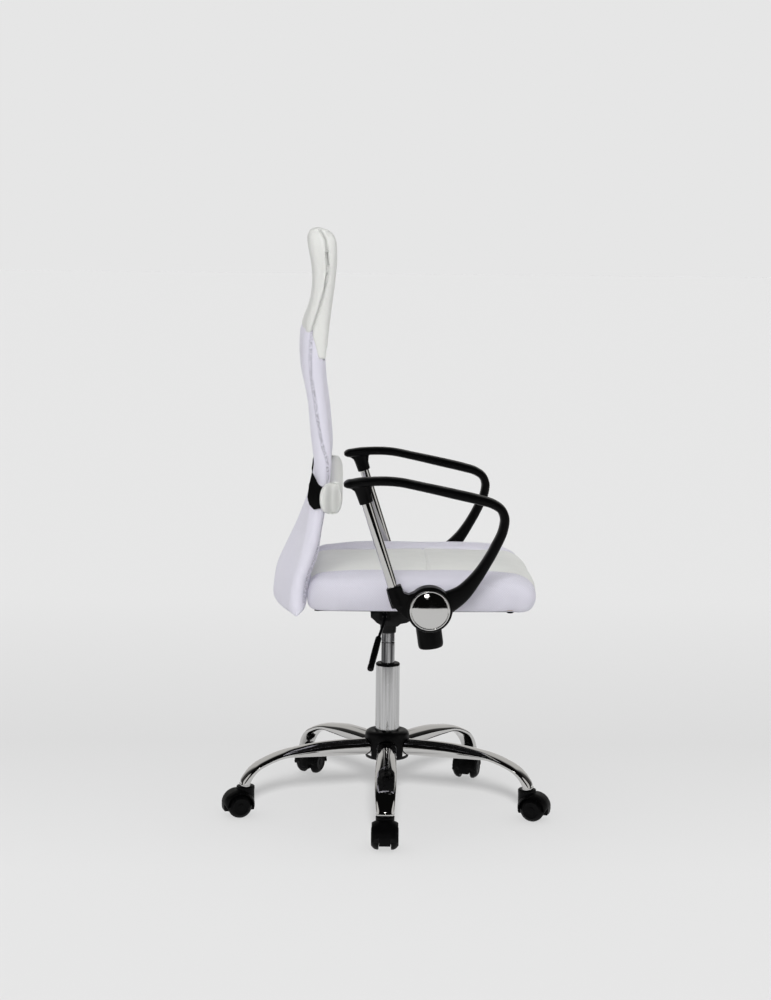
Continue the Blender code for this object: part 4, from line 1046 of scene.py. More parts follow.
def make_sleeve():
    low_rows = SLEEVE_LOW + 0.016 * (1 - np.cos(np.linspace(0, math.pi / 2, 7)))
    rows = list(low_rows) + list(np.linspace(low_rows[-1], SLEEVE_HIGH, 76)[1:])
    rings, marks = [], []
    for z in rows:
        half = np.array(sleeve_half_ring(z))
        step = np.linalg.norm(np.diff(half, axis=0), axis=1)
        length = np.concatenate([[0], np.cumsum(step)])
        length = length[len(half) // 2] - length  # from the outermost line: ahead is positive
        other = half[::-1][1:-1] * (1, -1, 1)
        rings.append(np.concatenate([half, other]))
        marks.append(np.concatenate([length, length[::-1][1:-1]]))
    count = len(rings[0])
    verts, faces = skin(rings, close_ends=False)
    mesh = bpy.data.meshes.new("sleeve")
    mesh.from_pydata([tuple(v) for v in verts], [], faces)
    layer = mesh.uv_layers.new(name="cloth")
    along = np.concatenate([[0], np.cumsum(np.diff(rows))])
    u = np.concatenate(marks)
    v = np.repeat(along, count)
    for loop in mesh.loops:
        layer.data[loop.index].uv = (u[loop.vertex_index], v[loop.vertex_index])
    turned_outwards(mesh)
    ob = in_scene("sleeve_work", mesh)

    def pull(place, normal):
        out = place.copy()
        z = place[:, 2]
        low = np.clip((0.60 - z) / 0.16, 0, 1)
        waves = ripple(place * (1.0, 1.0, 0.35), 46.0, 4) * 0.0010 * low
        waves += ripple(place * (1.0, 0.6, 1.0), 30.0, 7) * 0.0006
        seam = groove(u_of, 0.0022, 0.0011)
        out += normal * (waves - seam)[:, None]
        return out

    u_of = np.abs(u - seam_shift(np.repeat(np.array(rows), count)))
    shaped(mesh, pull)
    sleeve = shown("back_mesh_sleeve", finer(ob), "sleeve", "seat",
                   ("back_mesh_front", "back_mesh_rear"))


SEAM_HEIGHTS = (0.44, 0.56, 0.64, 0.74, 0.80, 0.90, 0.985)
SEAM_SHIFTS = (0.027, 0.025, 0.018, 0.010, 0.0, -0.004, -0.006)
CURVE_SPAN = 0.08  # metres


def seam_shift(z):
    """How far ahead of the outermost line the side seam runs."""
    return np.interp(z, SEAM_HEIGHTS, SEAM_SHIFTS)


def sleeve_material():
    n = Nodes("mesh_white_sleeve")
    place = n.place()
    z = n.axes(place)[2]
    uv = n.axes(n.place("UV"))
    tone, hole, normal = weave_parts(n, place, uv[0], uv[1])
    curve = n.add("ShaderNodeFloatCurve")
    lowest, tall = SEAM_HEIGHTS[0], SEAM_HEIGHTS[-1] - SEAM_HEIGHTS[0]
    n.link(n.math("DIVIDE", n.math("SUBTRACT", z, lowest), tall), curve.inputs["Value"])
    line = curve.mapping.curves[0]
    while len(line.points) > 2:
        line.points.remove(line.points[1])
    # the curve holds values from 0 to 1, so the shifts are stored about its middle
    stored = [((h - lowest) / tall, 0.5 + s / CURVE_SPAN) for h, s in zip(SEAM_HEIGHTS, SEAM_SHIFTS)]
    for spot in stored[1:-1]:
        line.points.new(*spot)
    line.points[0].location = stored[0]
    line.points[-1].location = stored[-1]
    curve.mapping.update()
    shift = n.math("MULTIPLY", n.math("SUBTRACT", curve.outputs[0], 0.5), CURVE_SPAN)
    # painted shadow: a dark speckled band along the side seam, wider low down between the seat and the back,
    # for the seam's shadow and the shade seen through the mesh there
    far = n.math("ABSOLUTE", n.math("SUBTRACT", uv[0], shift))
    width = n.span(z, 0.54, 0.62, 0.0110, 0.0050)
    seam_shadow_band = n.math("SUBTRACT", 1.0, n.math("MINIMUM", n.math("DIVIDE", far, width), 1.0))
    seam_shadow_band = n.span(seam_shadow_band, 0.0, 0.55)
    speck = n.span(n.noise(place, 430.0, 1.5), 0.40, 0.60)
    shadow_specks = n.math("ADD", n.math("MULTIPLY", speck, 0.55), n.math("MULTIPLY", hole, 0.25))
    tone = n.mix(n.math("MULTIPLY", seam_shadow_band, shadow_specks), tone, (0.10, 0.095, 0.13))
    return n.finish(tone, 0.85, normal, specular=0.2, sheen=0.12)


MATERIALS["sleeve"] = sleeve_material()


# headrest
HEADREST_STATIONS = (
    (0.915, -0.1805, -0.1355, 0.2435), (0.955, -0.1795, -0.1310, 0.2430), (0.985, -0.1785, -0.1290, 0.2425),
    (1.013, -0.1765, -0.1268, 0.2425), (1.053, -0.1635, -0.1215, 0.2422), (1.094, -0.1575, -0.1168, 0.2420),
    (1.130, -0.1600, -0.1138, 0.2420), (1.155, -0.1650, -0.1132, 0.2410), (1.175, -0.1680, -0.1160, 0.2385),
    (1.188, -0.1672, -0.1230, 0.2330), (1.195, -0.1640, -0.1312, 0.2260), (1.199, -0.1580, -0.1410, 0.2150),
    (1.2000, -0.1520, -0.1480, 0.2080),
)
# the side seam: height, x
HEADREST_SEAM = (
    (0.915, -0.1660), (0.960, -0.1630), (1.0052, -0.1571), (1.0409, -0.1454), (1.0806, -0.1338),
    (1.1163, -0.1281), (1.1517, -0.1302), (1.1754, -0.1329), (1.1900, -0.1405), (1.2000, -0.1500),
)


def padded_half_ring(middle, depth, half, corner, seam_x):
    """Half of a pad's section, from the front's middle to the rear's, with a point on the side seam."""
    corner = min(corner, 0.92 * depth)
    seam_x = min(max(seam_x, middle - depth + corner + 1e-4), middle + depth - corner - 1e-4)
    points = [(middle + depth, y) for y in np.linspace(0, half - corner, 28)[:-1]]
    for a in np.linspace(0, math.pi / 2, 7)[:-1]:
        points.append((middle + depth - corner * (1 - math.cos(a)), half - corner * (1 - math.sin(a))))
    ahead = middle + depth - corner
    behind = middle - depth + corner
    closer = np.linspace(1, 0, 9) ** 1.7
    points += [(seam_x + (ahead - seam_x) * t, half) for t in closer[:-1]]
    seam = len(points)
    points += [(seam_x + (behind - seam_x) * t, half) for t in closer[:0:-1]]
    for a in np.linspace(math.pi / 2, 0, 7)[:-1]:
        points.append((behind - corner * math.cos(a), half - corner * (1 - math.sin(a))))
    points += [(middle - depth, y) for y in np.linspace(half - corner, 0, 28)]
    return points, seam


def headrest_rings():
    """The headrest's rings from its hem to its top, and the place of the side seam in each."""
    table, seam_at = table_curve(HEADREST_STATIONS), table_curve(HEADREST_SEAM)
    levels = np.linspace(HEADREST_STATIONS[0][0], HEADREST_STATIONS[-1][0], 160)
    stack = []
    for z in levels:
        rear, front, half = table(z, 1), table(z, 2), table(z, 3)
        bow = back_bow(min(z, 1.0)) * np.interp(z, (0.985, 1.06), (1.0, 0.35))
        rear += 0.75 * bow
        points, seam = padded_half_ring((rear + front) / 2, (front - rear) / 2, half, 0.0125, seam_at(z))
        stack.append([(x - bow * (1 - min(1, y / BACK_TUBE_Y) ** 2), y) for x, y in points])
    stack = np.array(stack)
    columns = stack.shape[1]
    hem = np.empty(columns)
    section = stack[20]  # near the hem
    corner = section[:, 1].argmax()
    ahead = section[corner, 0]
    for c in range(columns):
        x, y = section[c]
        if c < corner:
            hem[c] = np.interp(y, *np.array(FRONT_HEM).T)
        else:  # up along the side, then level across the rear
            climbed = min(1, max(0, (ahead - x) / max(1e-6, ahead - section[seam, 0])))
            hem[c] = FRONT_HEM[-1][1] * (1 - climbed) + SIDE_HEM_Z * climbed
        hem[c] += 0.003 * math.exp(-((abs(c - seam) / 1.6) ** 2))
    rows = np.concatenate([np.linspace(0, 0.90, 46), np.linspace(0.90, 1.0, 14)[1:]])
    rings = []
    for t in rows:
        z = hem * (1 - t) + levels[-1] * t
        half = []
        for c in range(columns):
            x = np.interp(z[c], levels, stack[:, c, 0])
            y = np.interp(z[c], levels, stack[:, c, 1])
            half.append((x, y, z[c]))
        half = np.array(half)
        rings.append(np.concatenate([half, half[::-1][1:-1] * (1, -1, 1)]))
    # the hem turns in and up, on the mesh
    centre_x = back_x(0.985) - 0.010
    hem_ring = rings[0]
    for shift, rise in ((0.0022, -0.0004), (0.0042, 0.0012), (0.0046, 0.0080)):
        lip = hem_ring.copy()
        lip[:, 0] += np.clip((centre_x - lip[:, 0]) * 10, -1, 1) * shift
        lip[:, 1] -= np.sign(lip[:, 1]) * shift * (np.abs(lip[:, 1]) > 0.20)
        lip[:, 2] += rise
        rings.insert(0, lip)
    return rings, seam


def make_headrest():
    rings, seam = headrest_rings()
    count = len(rings[0])
    verts, faces = skin(rings, close_ends=False)
    top = (len(rings) - 1) * count
    faces.append(tuple(range(top, top + count)))
    ob = work_object("headrest_work", (verts, faces))
    seams = {r * count + c for r in range(len(rings)) for c in (seam, count - seam)}
    held = seams | {r * count + c for r in range(5) for c in range(count)} | {top + c for c in range(count)}
    puffed(ob, held, 1.6, 0.002)
    seam_line = [(x, z) for z, x in HEADREST_SEAM]

    def sew(place, normal):
        side = np.abs(place[:, 1]) > SIDE_FACE_Y
        far = np.where(side, distance_to_line(place[:, [0, 2]], seam_line), 1.0)
        waves = ripple(place * (1, 0.7, 1), 60.0, 11) * 0.0007
        pinch = groove(far, 0.0020, 0.0034)
        roll = groove(np.abs(far - 0.0060), 0.0035, 0.0010)
        return place + normal * (waves - pinch + roll)[:, None]

    # painted shade along the side seams, stored on the points for the leatherette's colour
    def along_seam(place):
        far = distance_to_line(place[:, [0, 2]], seam_line)
        return np.where(np.abs(place[:, 1]) > SIDE_FACE_Y, groove(far, 0.0022, 1.0), 0)

    mesh = finer(ob)
    shaped(mesh, sew)
    marked(mesh, along_seam)
    pad = shown("headrest_cushion", mesh, "leather", "seat", ("headrest_pad",))
    return pad


# lumbar bolster
LUMBAR_STATIONS = (
    (0.0000, -0.1135, 0.0145, 0.0285), (0.1200, -0.1128, 0.0146, 0.0290), (0.2000, -0.1118, 0.0144, 0.0298),
    (0.2375, -0.1112, 0.0138, 0.0306), (0.2470, -0.1125, 0.0145, 0.0312), (0.2495, -0.1168, 0.0184, 0.0314),
    (0.2560, -0.1190, 0.0214, 0.0312), (0.2620, -0.1192, 0.0212, 0.0300), (0.2670, -0.1186, 0.0180, 0.0268),
    (0.2695, -0.1184, 0.0120, 0.0190),
)


def make_lumbar():
    table = table_curve(LUMBAR_STATIONS)
    ys = list(np.linspace(0, 0.236, 34)[:-1]) + list(np.linspace(0.236, 0.2695, 16))
    half_rings = []
    for y in ys:
        x, depth, height = table(y, 1), table(y, 2), table(y, 3)
        u, v = superellipse(depth, height, 2.25, 40)
        half_rings.append(np.stack([x + u, np.full(40, y), LUMBAR_Z + v], axis=1))
    last = half_rings[-1].copy()
    centre = last.mean(axis=0)
    for shrink, inwards in ((0.62, 0.0006), (0.25, 0.0016)):
        ring = centre + (last - centre) * shrink
        ring[:, 1] = ys[-1] + 0.0006 - inwards
        half_rings.append(ring)
    rings = [r * (1, -1, 1) for r in half_rings[::-1]][:-1] + half_rings
    verts, faces = skin(rings)
    ob = work_object("lumbar_work", (verts, faces))
    ends = {i for i, v in enumerate(ob.data.vertices) if abs(abs(v.co.y) - LUMBAR_SEAM_Y) < 0.0035}
    seam = {i for i, v in enumerate(ob.data.vertices) if abs(v.co.z - LUMBAR_Z) < 0.001 and v.co.x < -0.11}
    puffed(ob, ends | seam, 1.2, 0.0025, frames=12)
    mesh = finer(ob)

    def dimple(place, normal):
        y = np.abs(place[:, 1])
        end = np.clip((y - 0.250) / 0.012, 0, 1)
        across = groove(place[:, 0] - LUMBAR_DISH_X, 0.0125, 0.0185)
        out = place.copy()
        out[:, 1] -= np.sign(place[:, 1]) * end * across
        waves = ripple(place * (1, 0.5, 1), 80.0, 21) * 0.0006
        seam_dip = groove(np.abs(y - LUMBAR_SEAM_Y), 0.0022, 0.0014)
        return out + normal * (waves - seam_dip)[:, None]

    # painted shade in the dished ends, stored on the points for the leatherette's colour
    def shade(place):
        end = np.clip((np.abs(place[:, 1]) - 0.2440) / 0.012, 0, 1)
        return end * groove(place[:, 0] - LUMBAR_DISH_X, 0.0170, 1.0)

    shaped(mesh, dimple)
    marked(mesh, shade)
    pad = shown("lumbar_bolster", mesh, "leather", "lumbar", ("lumbar_pad",))
    for name in ("lumbar_clip_left", "lumbar_clip_right"):
        softened(name + "_moulded", name, "plastic", "lumbar", 0.0012)


# seat cushion
SEAT_SEAM_Y = 0.2390  # half distance between the side seams along the top
TOP_REAR, TOP_FRONT = -0.1480, 0.2600
REAR_CORNER_R, FRONT_CORNER_R = 0.030, 0.045
# from the top's edge outwards and down: how far out, height
SIDE_PROFILE = (
    (0.0000, 0.5150), (0.0050, 0.5120), (0.0088, 0.5055), (0.0106, 0.4965), (0.0110, 0.4860),
    (0.0098, 0.4760), (0.0072, 0.4665), (0.0034, 0.4590), (-0.0024, 0.4548), (-0.0110, 0.4540),
)
REAR_PROFILE = (
    (0.0000, 0.5150), (0.0060, 0.5105), (0.0115, 0.5040), (0.0150, 0.4955), (0.0168, 0.4860),
    (0.0170, 0.4760), (0.0162, 0.4665), (0.0132, 0.4590), (0.0070, 0.4548), (-0.0060, 0.4540),
)
FRONT_PROFILE = (
    (0.0000, 0.5170), (0.0125, 0.5120), (0.0235, 0.5045), (0.0315, 0.4950), (0.0350, 0.4850),
    (0.0350, 0.4755), (0.0326, 0.4660), (0.0278, 0.4575), (0.0195, 0.4510), (0.0020, 0.4520),
)
CROSS_SEAM_X = 0.075
# the seam round the front corner, on each side of the seat: x, height
BOXING_SEAM = (
    (0.140, 0.5135), (0.173, 0.5120), (0.205, 0.5060), (0.226, 0.4960), (0.236, 0.4800), (0.239, 0.4560),
)


def seat_top_outline(y):
    """The rear and front ends of the seat's top at a distance from its middle."""
    far = abs(y)

    def rounded(radius):
        past = max(0.0, (far - (SEAT_SEAM_Y - radius)) / radius)
        return radius * (1 - math.sqrt(max(0, 1 - min(1, past) ** 2)))

    bow = 0.010 * (far / 0.24) ** 2
    return TOP_REAR + rounded(REAR_CORNER_R), TOP_FRONT - rounded(FRONT_CORNER_R) - bow


SEAT_ACROSS = ((0.0, 0.5250), (0.08, 0.5240), (0.135, 0.5195), (0.146, 0.5175), (0.157, 0.5205),
               (0.185, 0.5260), (0.210, 0.5240), (0.228, 0.5195), (0.239, 0.5150))
seat_across = table_curve(SEAT_ACROSS)


def seat_crown(x, y):
    """Height of the seat's top: a flat middle between two bolsters, rounded at both ends."""
    middle = 0.062
    along = 1 - abs((x - middle) / (0.222 if x > middle else 0.214)) ** 4.0
    return 0.5150 + (seat_across(abs(y)) - 0.5150 + 0.003) * max(0, along) ** 0.8


def spaced(start, stop, seams, step, near=0.0026):
    """Positions from start to stop about a step apart, with lines on each seam and close beside it."""
    marks = sorted({start, stop, *seams, *(s - near for s in seams), *(s + near for s in seams)})
    out = [start]
    for a, b in zip(marks, marks[1:]):
        count = max(1, round((b - a) / step))
        out += [a + (b - a) * k / count for k in range(1, count + 1)]
    return out


def seat_shell():
    """The seat cover's points and faces, and the points that are sewn or stapled down."""
    ys = spaced(-SEAT_SEAM_Y, SEAT_SEAM_Y, (-LEATHER_HALF_Y, LEATHER_HALF_Y), 0.0078)
    length = TOP_FRONT - TOP_REAR
    xs = spaced(0.0, length, (CROSS_SEAM_X - TOP_REAR,), 0.0078)
    rows, cols = len(ys), len(xs)
    verts = []
    for y in ys:
        rear, front = seat_top_outline(y)
        for t in xs:
            x = rear + (front - rear) * t / length
            verts.append((x, y, seat_crown(x, y)))
    faces = []
    for r in range(rows - 1):
        for c in range(cols - 1):
            a = r * cols + c
            faces.append((a, a + 1, a + cols + 1, a + cols))
    rim = list(range(cols))
    rim += [r * cols + cols - 1 for r in range(1, rows)]
    rim += [(rows - 1) * cols + c for c in range(cols - 2, -1, -1)]
    rim += [r * cols for r in range(rows - 2, 0, -1)]
    edge = np.array([verts[i] for i in rim])
    plan = edge[:, :2]
    tangent = np.roll(plan, -1, axis=0) - np.roll(plan, 1, axis=0)
    tangent /= np.linalg.norm(tangent, axis=1)[:, None]
    outward = np.stack([tangent[:, 1], -tangent[:, 0]], axis=1)
    to_front = np.clip((outward[:, 0] - 0.35) / 0.6, 0, 1)
    to_front = to_front**2 * (3 - 2 * to_front)
    to_rear = np.clip((-outward[:, 0] - 0.1) / 0.8, 0, 1)
    previous = rim
    top_rings = [rim]
    for k in range(len(SIDE_PROFILE)):
        side, rear, front = SIDE_PROFILE[k], REAR_PROFILE[k], FRONT_PROFILE[k]
        out = side[0] * (1 - to_front - to_rear) + rear[0] * to_rear + front[0] * to_front
        z = side[1] * (1 - to_front - to_rear) + rear[1] * to_rear + front[1] * to_front
        if k == 0:
            for i, height in zip(rim, z):
                verts[i] = (verts[i][0], verts[i][1], height)
            continue
        ring = []
        for i in range(len(rim)):
            ring.append(len(verts))
            verts.append((plan[i, 0] + outward[i, 0] * out[i], plan[i, 1] + outward[i, 1] * out[i], z[i]))
        count = len(rim)
        for i in range(count):
            j = (i + 1) % count
            faces.append((previous[i], previous[j], ring[j], ring[i]))
        previous = ring
        top_rings.append(ring)
    # underside: in to a ring on the board, then shut
    inner = []
    for i in range(len(rim)):
        x, y, z = verts[previous[i]]
        inner.append(len(verts))
        verts.append((0.055 + (x - 0.055) * 0.90, y * 0.90, 0.4548))
    for i in range(len(rim)):
        j = (i + 1) % len(rim)
        faces.append((previous[i], previous[j], inner[j], inner[i]))
    held = set(inner) | set(previous) | set(top_rings[-2])
    for r, y in enumerate(ys):
        if abs(abs(y) - LEATHER_HALF_Y) < 1e-6:
            held |= {r * cols + c for c in range(cols)}
        if abs(y) < LEATHER_HALF_Y:
            held |= {r * cols + c for c, t in enumerate(xs) if abs(t - (CROSS_SEAM_X - TOP_REAR)) < 1e-6}
    held |= {i for i, f in zip(rim, to_front) if f < 0.3}
    return verts, faces, held


def make_seat():
    verts, faces, held = seat_shell()
    ob = work_object("seat_work", (verts, faces))
    for look in ("leather", "seat_mesh"):
        ob.data.materials.append(MATERIALS[look])
    puffed(ob, held, 2.2, 0.007)
    for poly in ob.data.polygons:
        x, y, z = poly.center
        leather = abs(y) < LEATHER_HALF_Y and (x > 0.24 or z > 0.5)
        poly.material_index = 0 if leather else 1
    mesh = finer(ob)

    def sew(place, normal):
        x, y, z = place.T
        far = np.where(z > 0.49, np.abs(np.abs(y) - LEATHER_HALF_Y), 1)
        dip = groove(far, 0.0030, 0.0035)
        inside = np.clip((LEATHER_HALF_Y - np.abs(y)) / 0.004, 0, 1) * (z > 0.50)
        dip += groove(x - CROSS_SEAM_X, 0.0028, 0.0024) * inside
        near = np.abs(y) > SIDE_FACE_Y
        dip += np.where(near, groove(distance_to_line(place[:, [0, 2]], BOXING_SEAM), 0.0030, 0.0022), 0)
        waves = ripple(place, 42.0, 3) * 0.0011 + ripple(place, 110.0, 5) * 0.0004
        shadow_side = np.where(near & (x > -0.13) & (x < 0.16), groove(z - 0.5125, 0.0028, 0.0012), 0)
        return place + normal * (waves * (z > 0.458) - dip - shadow_side)[:, None]

    shaped(mesh, sew)
    seat = shown("seat_upholstery", mesh, None, "seat", ("seat_cushion",))
    return seat


def seat_mesh_material():
    """The same spacer mesh, laid out from above on the seat's top and from the side elsewhere, darkened all
    over as painted shade.
    """
    n = Nodes("mesh_white_seat")
    place = n.place()
    x, y, z = n.axes(place)
    geometry = n.add("ShaderNodeNewGeometry")
    facing_up = n.axes(geometry.outputs["True Normal"])[2]
    # painted shade: the seat's mesh is a darker copy of the sleeve's, for the seat's dimmer light
    tone_top, _, normal_top = weave_parts(n, place, x, y, shade=0.86)
    tone_side, _, normal_side = weave_parts(n, place, x, z, shade=0.86)
    share = n.span(n.math("ABSOLUTE", facing_up), 0.60, 0.78)
    tone = n.mix(share, tone_side, tone_top)
    normal = n.add("ShaderNodeMix", data_type="VECTOR")
    n.link(share, normal.inputs[0])
    n.link(normal_side, normal.inputs[4])
    n.link(normal_top, normal.inputs[5])
    return n.finish(tone, 0.85, normal.outputs[1], specular=0.2, sheen=0.12)


MATERIALS["seat_mesh"] = seat_mesh_material()


def dust_cover_material():
    n = Nodes("dust_cover_black")
    place = n.place()
    fibres = n.noise(place, 900.0, 3.0, 0.7)
    tone = n.mix(fibres, (0.006, 0.006, 0.007), (0.020, 0.020, 0.021))
    return n.finish(tone, 0.9, n.bump(fibres, 0.4, 0.0005), specular=0.1)


MATERIALS["dust_cover"] = dust_cover_material()


def stitched(name, rows, surface, body, slot):
    """Rows of single stitches lying on a surface. A row is points, and the way that a needle enters."""
    mesh = surface.data
    tree = BVHTree.FromPolygons([v.co for v in mesh.vertices], [p.vertices for p in mesh.polygons])
    long, gap, thick = 0.0036, 0.0013, 0.00042
    parts = []
    for points, needle in rows:
        needle = Vector(needle).normalized()
        landed = []
        for p in catmull(points, 30):
            hit, normal, _, _ = tree.ray_cast(Vector(p) - needle * 0.08, needle)
            if hit is not None and normal.dot(needle) < -0.15:
                landed.append((hit, normal))
        if len(landed) < 3:
            continue
        along = [0.0]
        for (a, _), (b, _) in zip(landed, landed[1:]):
            along.append(along[-1] + (b - a).length)
        places = np.array([a for a, _ in landed])
        normals = np.array([b for _, b in landed])
        start = 0.002
        while start + long < along[-1]:
            line = []
            for k in range(5):
                at = start + long * k / 4
                where = [np.interp(at, along, places[:, c]) for c in range(3)]
                up = [np.interp(at, along, normals[:, c]) for c in range(3)]
                lift = (-0.0002, 0.00022, 0.0003, 0.00022, -0.0002)[k]
                line.append([w + u * lift for w, u in zip(where, up)])
            parts.append(tube(line, [thick * 0.6, thick, thick, thick, thick * 0.6], 6))
            start += long + gap
    return made(name, *joined(*parts), "thread", body, slot)


def make_stitching(seat, headrest):
    rows = []
    for side in (-1, 1):
        for y in (LEATHER_HALF_Y - 0.0042, LEATHER_HALF_Y + 0.0042):
            rows.append(([(x, side * y, 0.53) for x in np.linspace(-0.142, 0.262, 14)], (0, 0, -1)))
    for x in (CROSS_SEAM_X - 0.004, CROSS_SEAM_X + 0.004):
        rows.append(([(x, y, 0.53) for y in np.linspace(-0.138, 0.138, 10)], (0, 0, -1)))
    stitched("seat_stitching", rows, seat, "seat", "white_leatherette")
    rows = []
    for side in (-1, 1):
        seam = [(x + 0.0052, side * 0.24, z) for z, x in HEADREST_SEAM[2:-3]]
        rows.append((seam, (0, -side, 0)))
    for rise in (0.006, 0.010):
        hem = [(y, z + rise) for y, z in FRONT_HEM[:-1]]
        line = [(-0.10, -y, z) for y, z in hem[:0:-1]] + [(-0.10, y, z) for y, z in hem]
        rows.append((line, (-1, 0, 0)))
    stitched("headrest_stitching", rows, headrest, "seat", "white_leatherette")


def thread_material():
    n = Nodes("thread_white")
    place = n.place()
    twist = n.noise(place, 2200.0, 2.0)
    tone = n.mix(twist, (0.60, 0.60, 0.59), (0.74, 0.74, 0.73))
    return n.finish(tone, 0.6, n.bump(twist, 0.3, 0.0002), specular=0.3, sheen=0.1)


MATERIALS["thread"] = thread_material()


def make_feet():
    """Small rubber buffers screwed to the seat's underside."""
    foot = ((0, 0.4475), (0.0052, 0.4475), (0.0070, 0.4490), (0.0074, 0.4560), (0, 0.4560))
    for k, (x, y) in enumerate(((0.236, -0.205), (0.236, 0.205), (-0.143, -0.205), (-0.143, 0.205))):
        low = 0.0 if x > 0 else 0.0022
        part = lathe([(r, h + low) for r, h in foot], 24, fillet=0.0008, point=Vector((x, y, 0)))
        made(f"seat_buffer_{k + 1}", *part, "plastic", "seat", "black_plastic", sharp=50)


def make_dust_cover():
    """Black non-woven sheet stapled under the seat. The seat plate is screwed on over it."""
    xs, ys = np.linspace(-0.150, 0.252, 60), np.linspace(-0.228, 0.228, 66)
    rings = []
    for x in xs:
        low = 0.4536 - 0.0008 * math.sin(math.pi * (x + 0.15) / 0.402)
        rings.append(np.stack([np.full(len(ys), x), ys, np.full(len(ys), low)], axis=1))
    verts, faces = skin(rings, close_ends=False, closed=False)
    ob = work_object("dust_work", (verts, faces))
    cover = shown("seat_dust_cover", baked(ob), "dust_cover", "seat")


make_sleeve()
headrest = make_headrest()
make_lumbar()
seat = make_seat()
make_stitching(seat, headrest)
make_feet()
make_dust_cover()


# ---------------------------------------------------------------- stage
def stage_object(name, mesh, mat, **seen_by):
    mesh.materials.append(mat)
    ob = in_scene(name, mesh)
    for ray in ("camera", "diffuse", "glossy", "transmission", "shadow"):
        setattr(ob, f"visible_{ray}", seen_by.get(ray, False))
    return ob


DOME_SIDES, DOME_ROWS = 96, 48


def dome_mesh(name, radius, lowest=0.0):
    rings = []
    for r in range(DOME_ROWS + 1):
        elevation = lowest + (math.pi / 2 - 0.001 - lowest) * r / DOME_ROWS
        out, up = radius * math.cos(elevation), radius * math.sin(elevation)
        turns = [math.tau * i / DOME_SIDES for i in range(DOME_SIDES)]
        rings.append([(out * math.cos(turn), out * math.sin(turn), up) for turn in turns])
    verts, faces = skin(rings, close_ends=False)
    mesh = bpy.data.meshes.new(name)
    mesh.from_pydata([tuple(v) for v in verts], [], faces)
    mesh.shade_smooth()
    return mesh


def emission(name, build):
    n = Nodes(name)
    n.tree.nodes.remove(n.shader)
    glow = n.add("ShaderNodeEmission")
    build(n, glow)
    n.link(glow.outputs[0], n.tree.nodes["Material Output"].inputs["Surface"])
    return n.mat


BACKDROP = 0.791  # the pale grey round the chair
REFLECTED_R = 4.7  # the studio's walls, as the chrome sees them


def studio_walls(n, glow):
    """Dark walls and ceiling behind the camera, a pale wall behind the chair and one small soft box."""
    x, y, z = n.axes(n.place())
    rise = n.math("DIVIDE", z, REFLECTED_R)
    behind = n.span(n.math("DIVIDE", y, REFLECTED_R), 0.15, 0.55)
    aside = n.math("ABSOLUTE", n.math("DIVIDE", x, REFLECTED_R))
    higher = n.math("SUBTRACT", rise, n.span(aside, 0.08, 0.28, 0.0, 0.30))
    pale = n.math("MULTIPLY", behind, n.span(higher, 0.30, 0.52, 1.0, 0.0))
    pale = n.math("MULTIPLY", pale, n.span(aside, 0.56, 0.72, 1.0, 0.1))
    glow_level = n.math("ADD", n.math("MULTIPLY", pale, 0.62), 0.004)
    for (px, py, pz), size, level in SOFT_BOXES:
        dx, dy, dz = (n.math("SUBTRACT", a, b * REFLECTED_R) for a, b in ((x, px), (y, py), (z, pz)))
        square = n.math("ADD", n.math("MULTIPLY", dx, dx), n.math("MULTIPLY", dy, dy))
        square = n.math("ADD", square, n.math("MULTIPLY", dz, dz))
        near = n.span(n.math("SQRT", square), size * 0.85, size, 1.0, 0.0)
        glow_level = n.math("ADD", glow_level, n.math("MULTIPLY", near, level))
    glow.inputs["Color"].default_value = (1.0, 0.985, 0.96, 1.0)
    n.link(glow_level, glow.inputs["Strength"])


def direction(azimuth, elevation):
    """Azimuth from -Y towards +X."""
    a, e = math.radians(azimuth), math.radians(elevation)
    return (math.sin(a) * math.cos(e), -math.cos(a) * math.cos(e), math.sin(e))


# seen only in the chrome: towards where, its radius over the wall's, how bright
SOFT_BOXES = (
    (direction(-2, 19), 0.26, 9.0),
    (direction(-72, 14), 1.95, 0.72),
    (direction(72, 14), 1.95, 0.72),
)


def plain(_, glow):
    glow.inputs["Color"].default_value = (1, 1, 1, 1)
    glow.inputs["Strength"].default_value = BACKDROP


def make_floor():
    half = 59.0
    corners = [(-half, -half, 0), (half, -half, 0), (half, half, 0), (-half, half, 0)]
    floor = bpy.data.meshes.new("floor")
    floor.from_pydata(corners, [], [(0, 1, 2, 3)])
    n = Nodes("floor_paper")
    # painted shade: the floor darkens towards a band across it near the chair, like the chair's shade on it
    y = n.axes(n.place())[1]
    behind = n.math("DIVIDE", n.math("SUBTRACT", y, FLOOR_SHADE_DARKEST_Y), 1.9)
    ahead = n.math("DIVIDE", n.math("SUBTRACT", FLOOR_SHADE_DARKEST_Y, y), 1.0)
    level = n.math("MINIMUM", n.math("MAXIMUM", behind, ahead), 1.0)
    tone = n.mix(level, FLOOR_PAINTED_SHADE, FLOOR_FAR)
    n.finish(tone, 0.9, specular=0.0)
    n.shader.inputs["Emission Color"].default_value = (1, 1, 1, 1)
    n.shader.inputs["Emission Strength"].default_value = FLOOR_GLOW
    seen = dict(camera=True, diffuse=True, glossy=True, shadow=True, transmission=True)
    return stage_object("floor", floor, n.mat, **seen)


def make_world():
    world = bpy.data.worlds.new("studio")
    bpy.context.scene.world = world
    world.use_nodes = True
    tree = world.node_tree
    background = tree.nodes["Background"]
    coordinates = tree.nodes.new("ShaderNodeTexCoord")
    split = tree.nodes.new("ShaderNodeSeparateXYZ")
    tree.links.new(coordinates.outputs["Generated"], split.inputs[0])
    ramp = tree.nodes.new("ShaderNodeMapRange")
    tree.links.new(split.outputs[2], ramp.inputs["Value"])
    ramp.inputs["To Min"].default_value = WORLD_LOW
    ramp.inputs["To Max"].default_value = WORLD_TOP
    background.inputs["Color"].default_value = (1, 1, 1, 1)
    tree.links.new(ramp.outputs[0], background.inputs["Strength"])


def light_linked(name, objects):
    group = bpy.data.collections.new(name)
    for ob in objects:
        group.objects.link(ob)
    return group


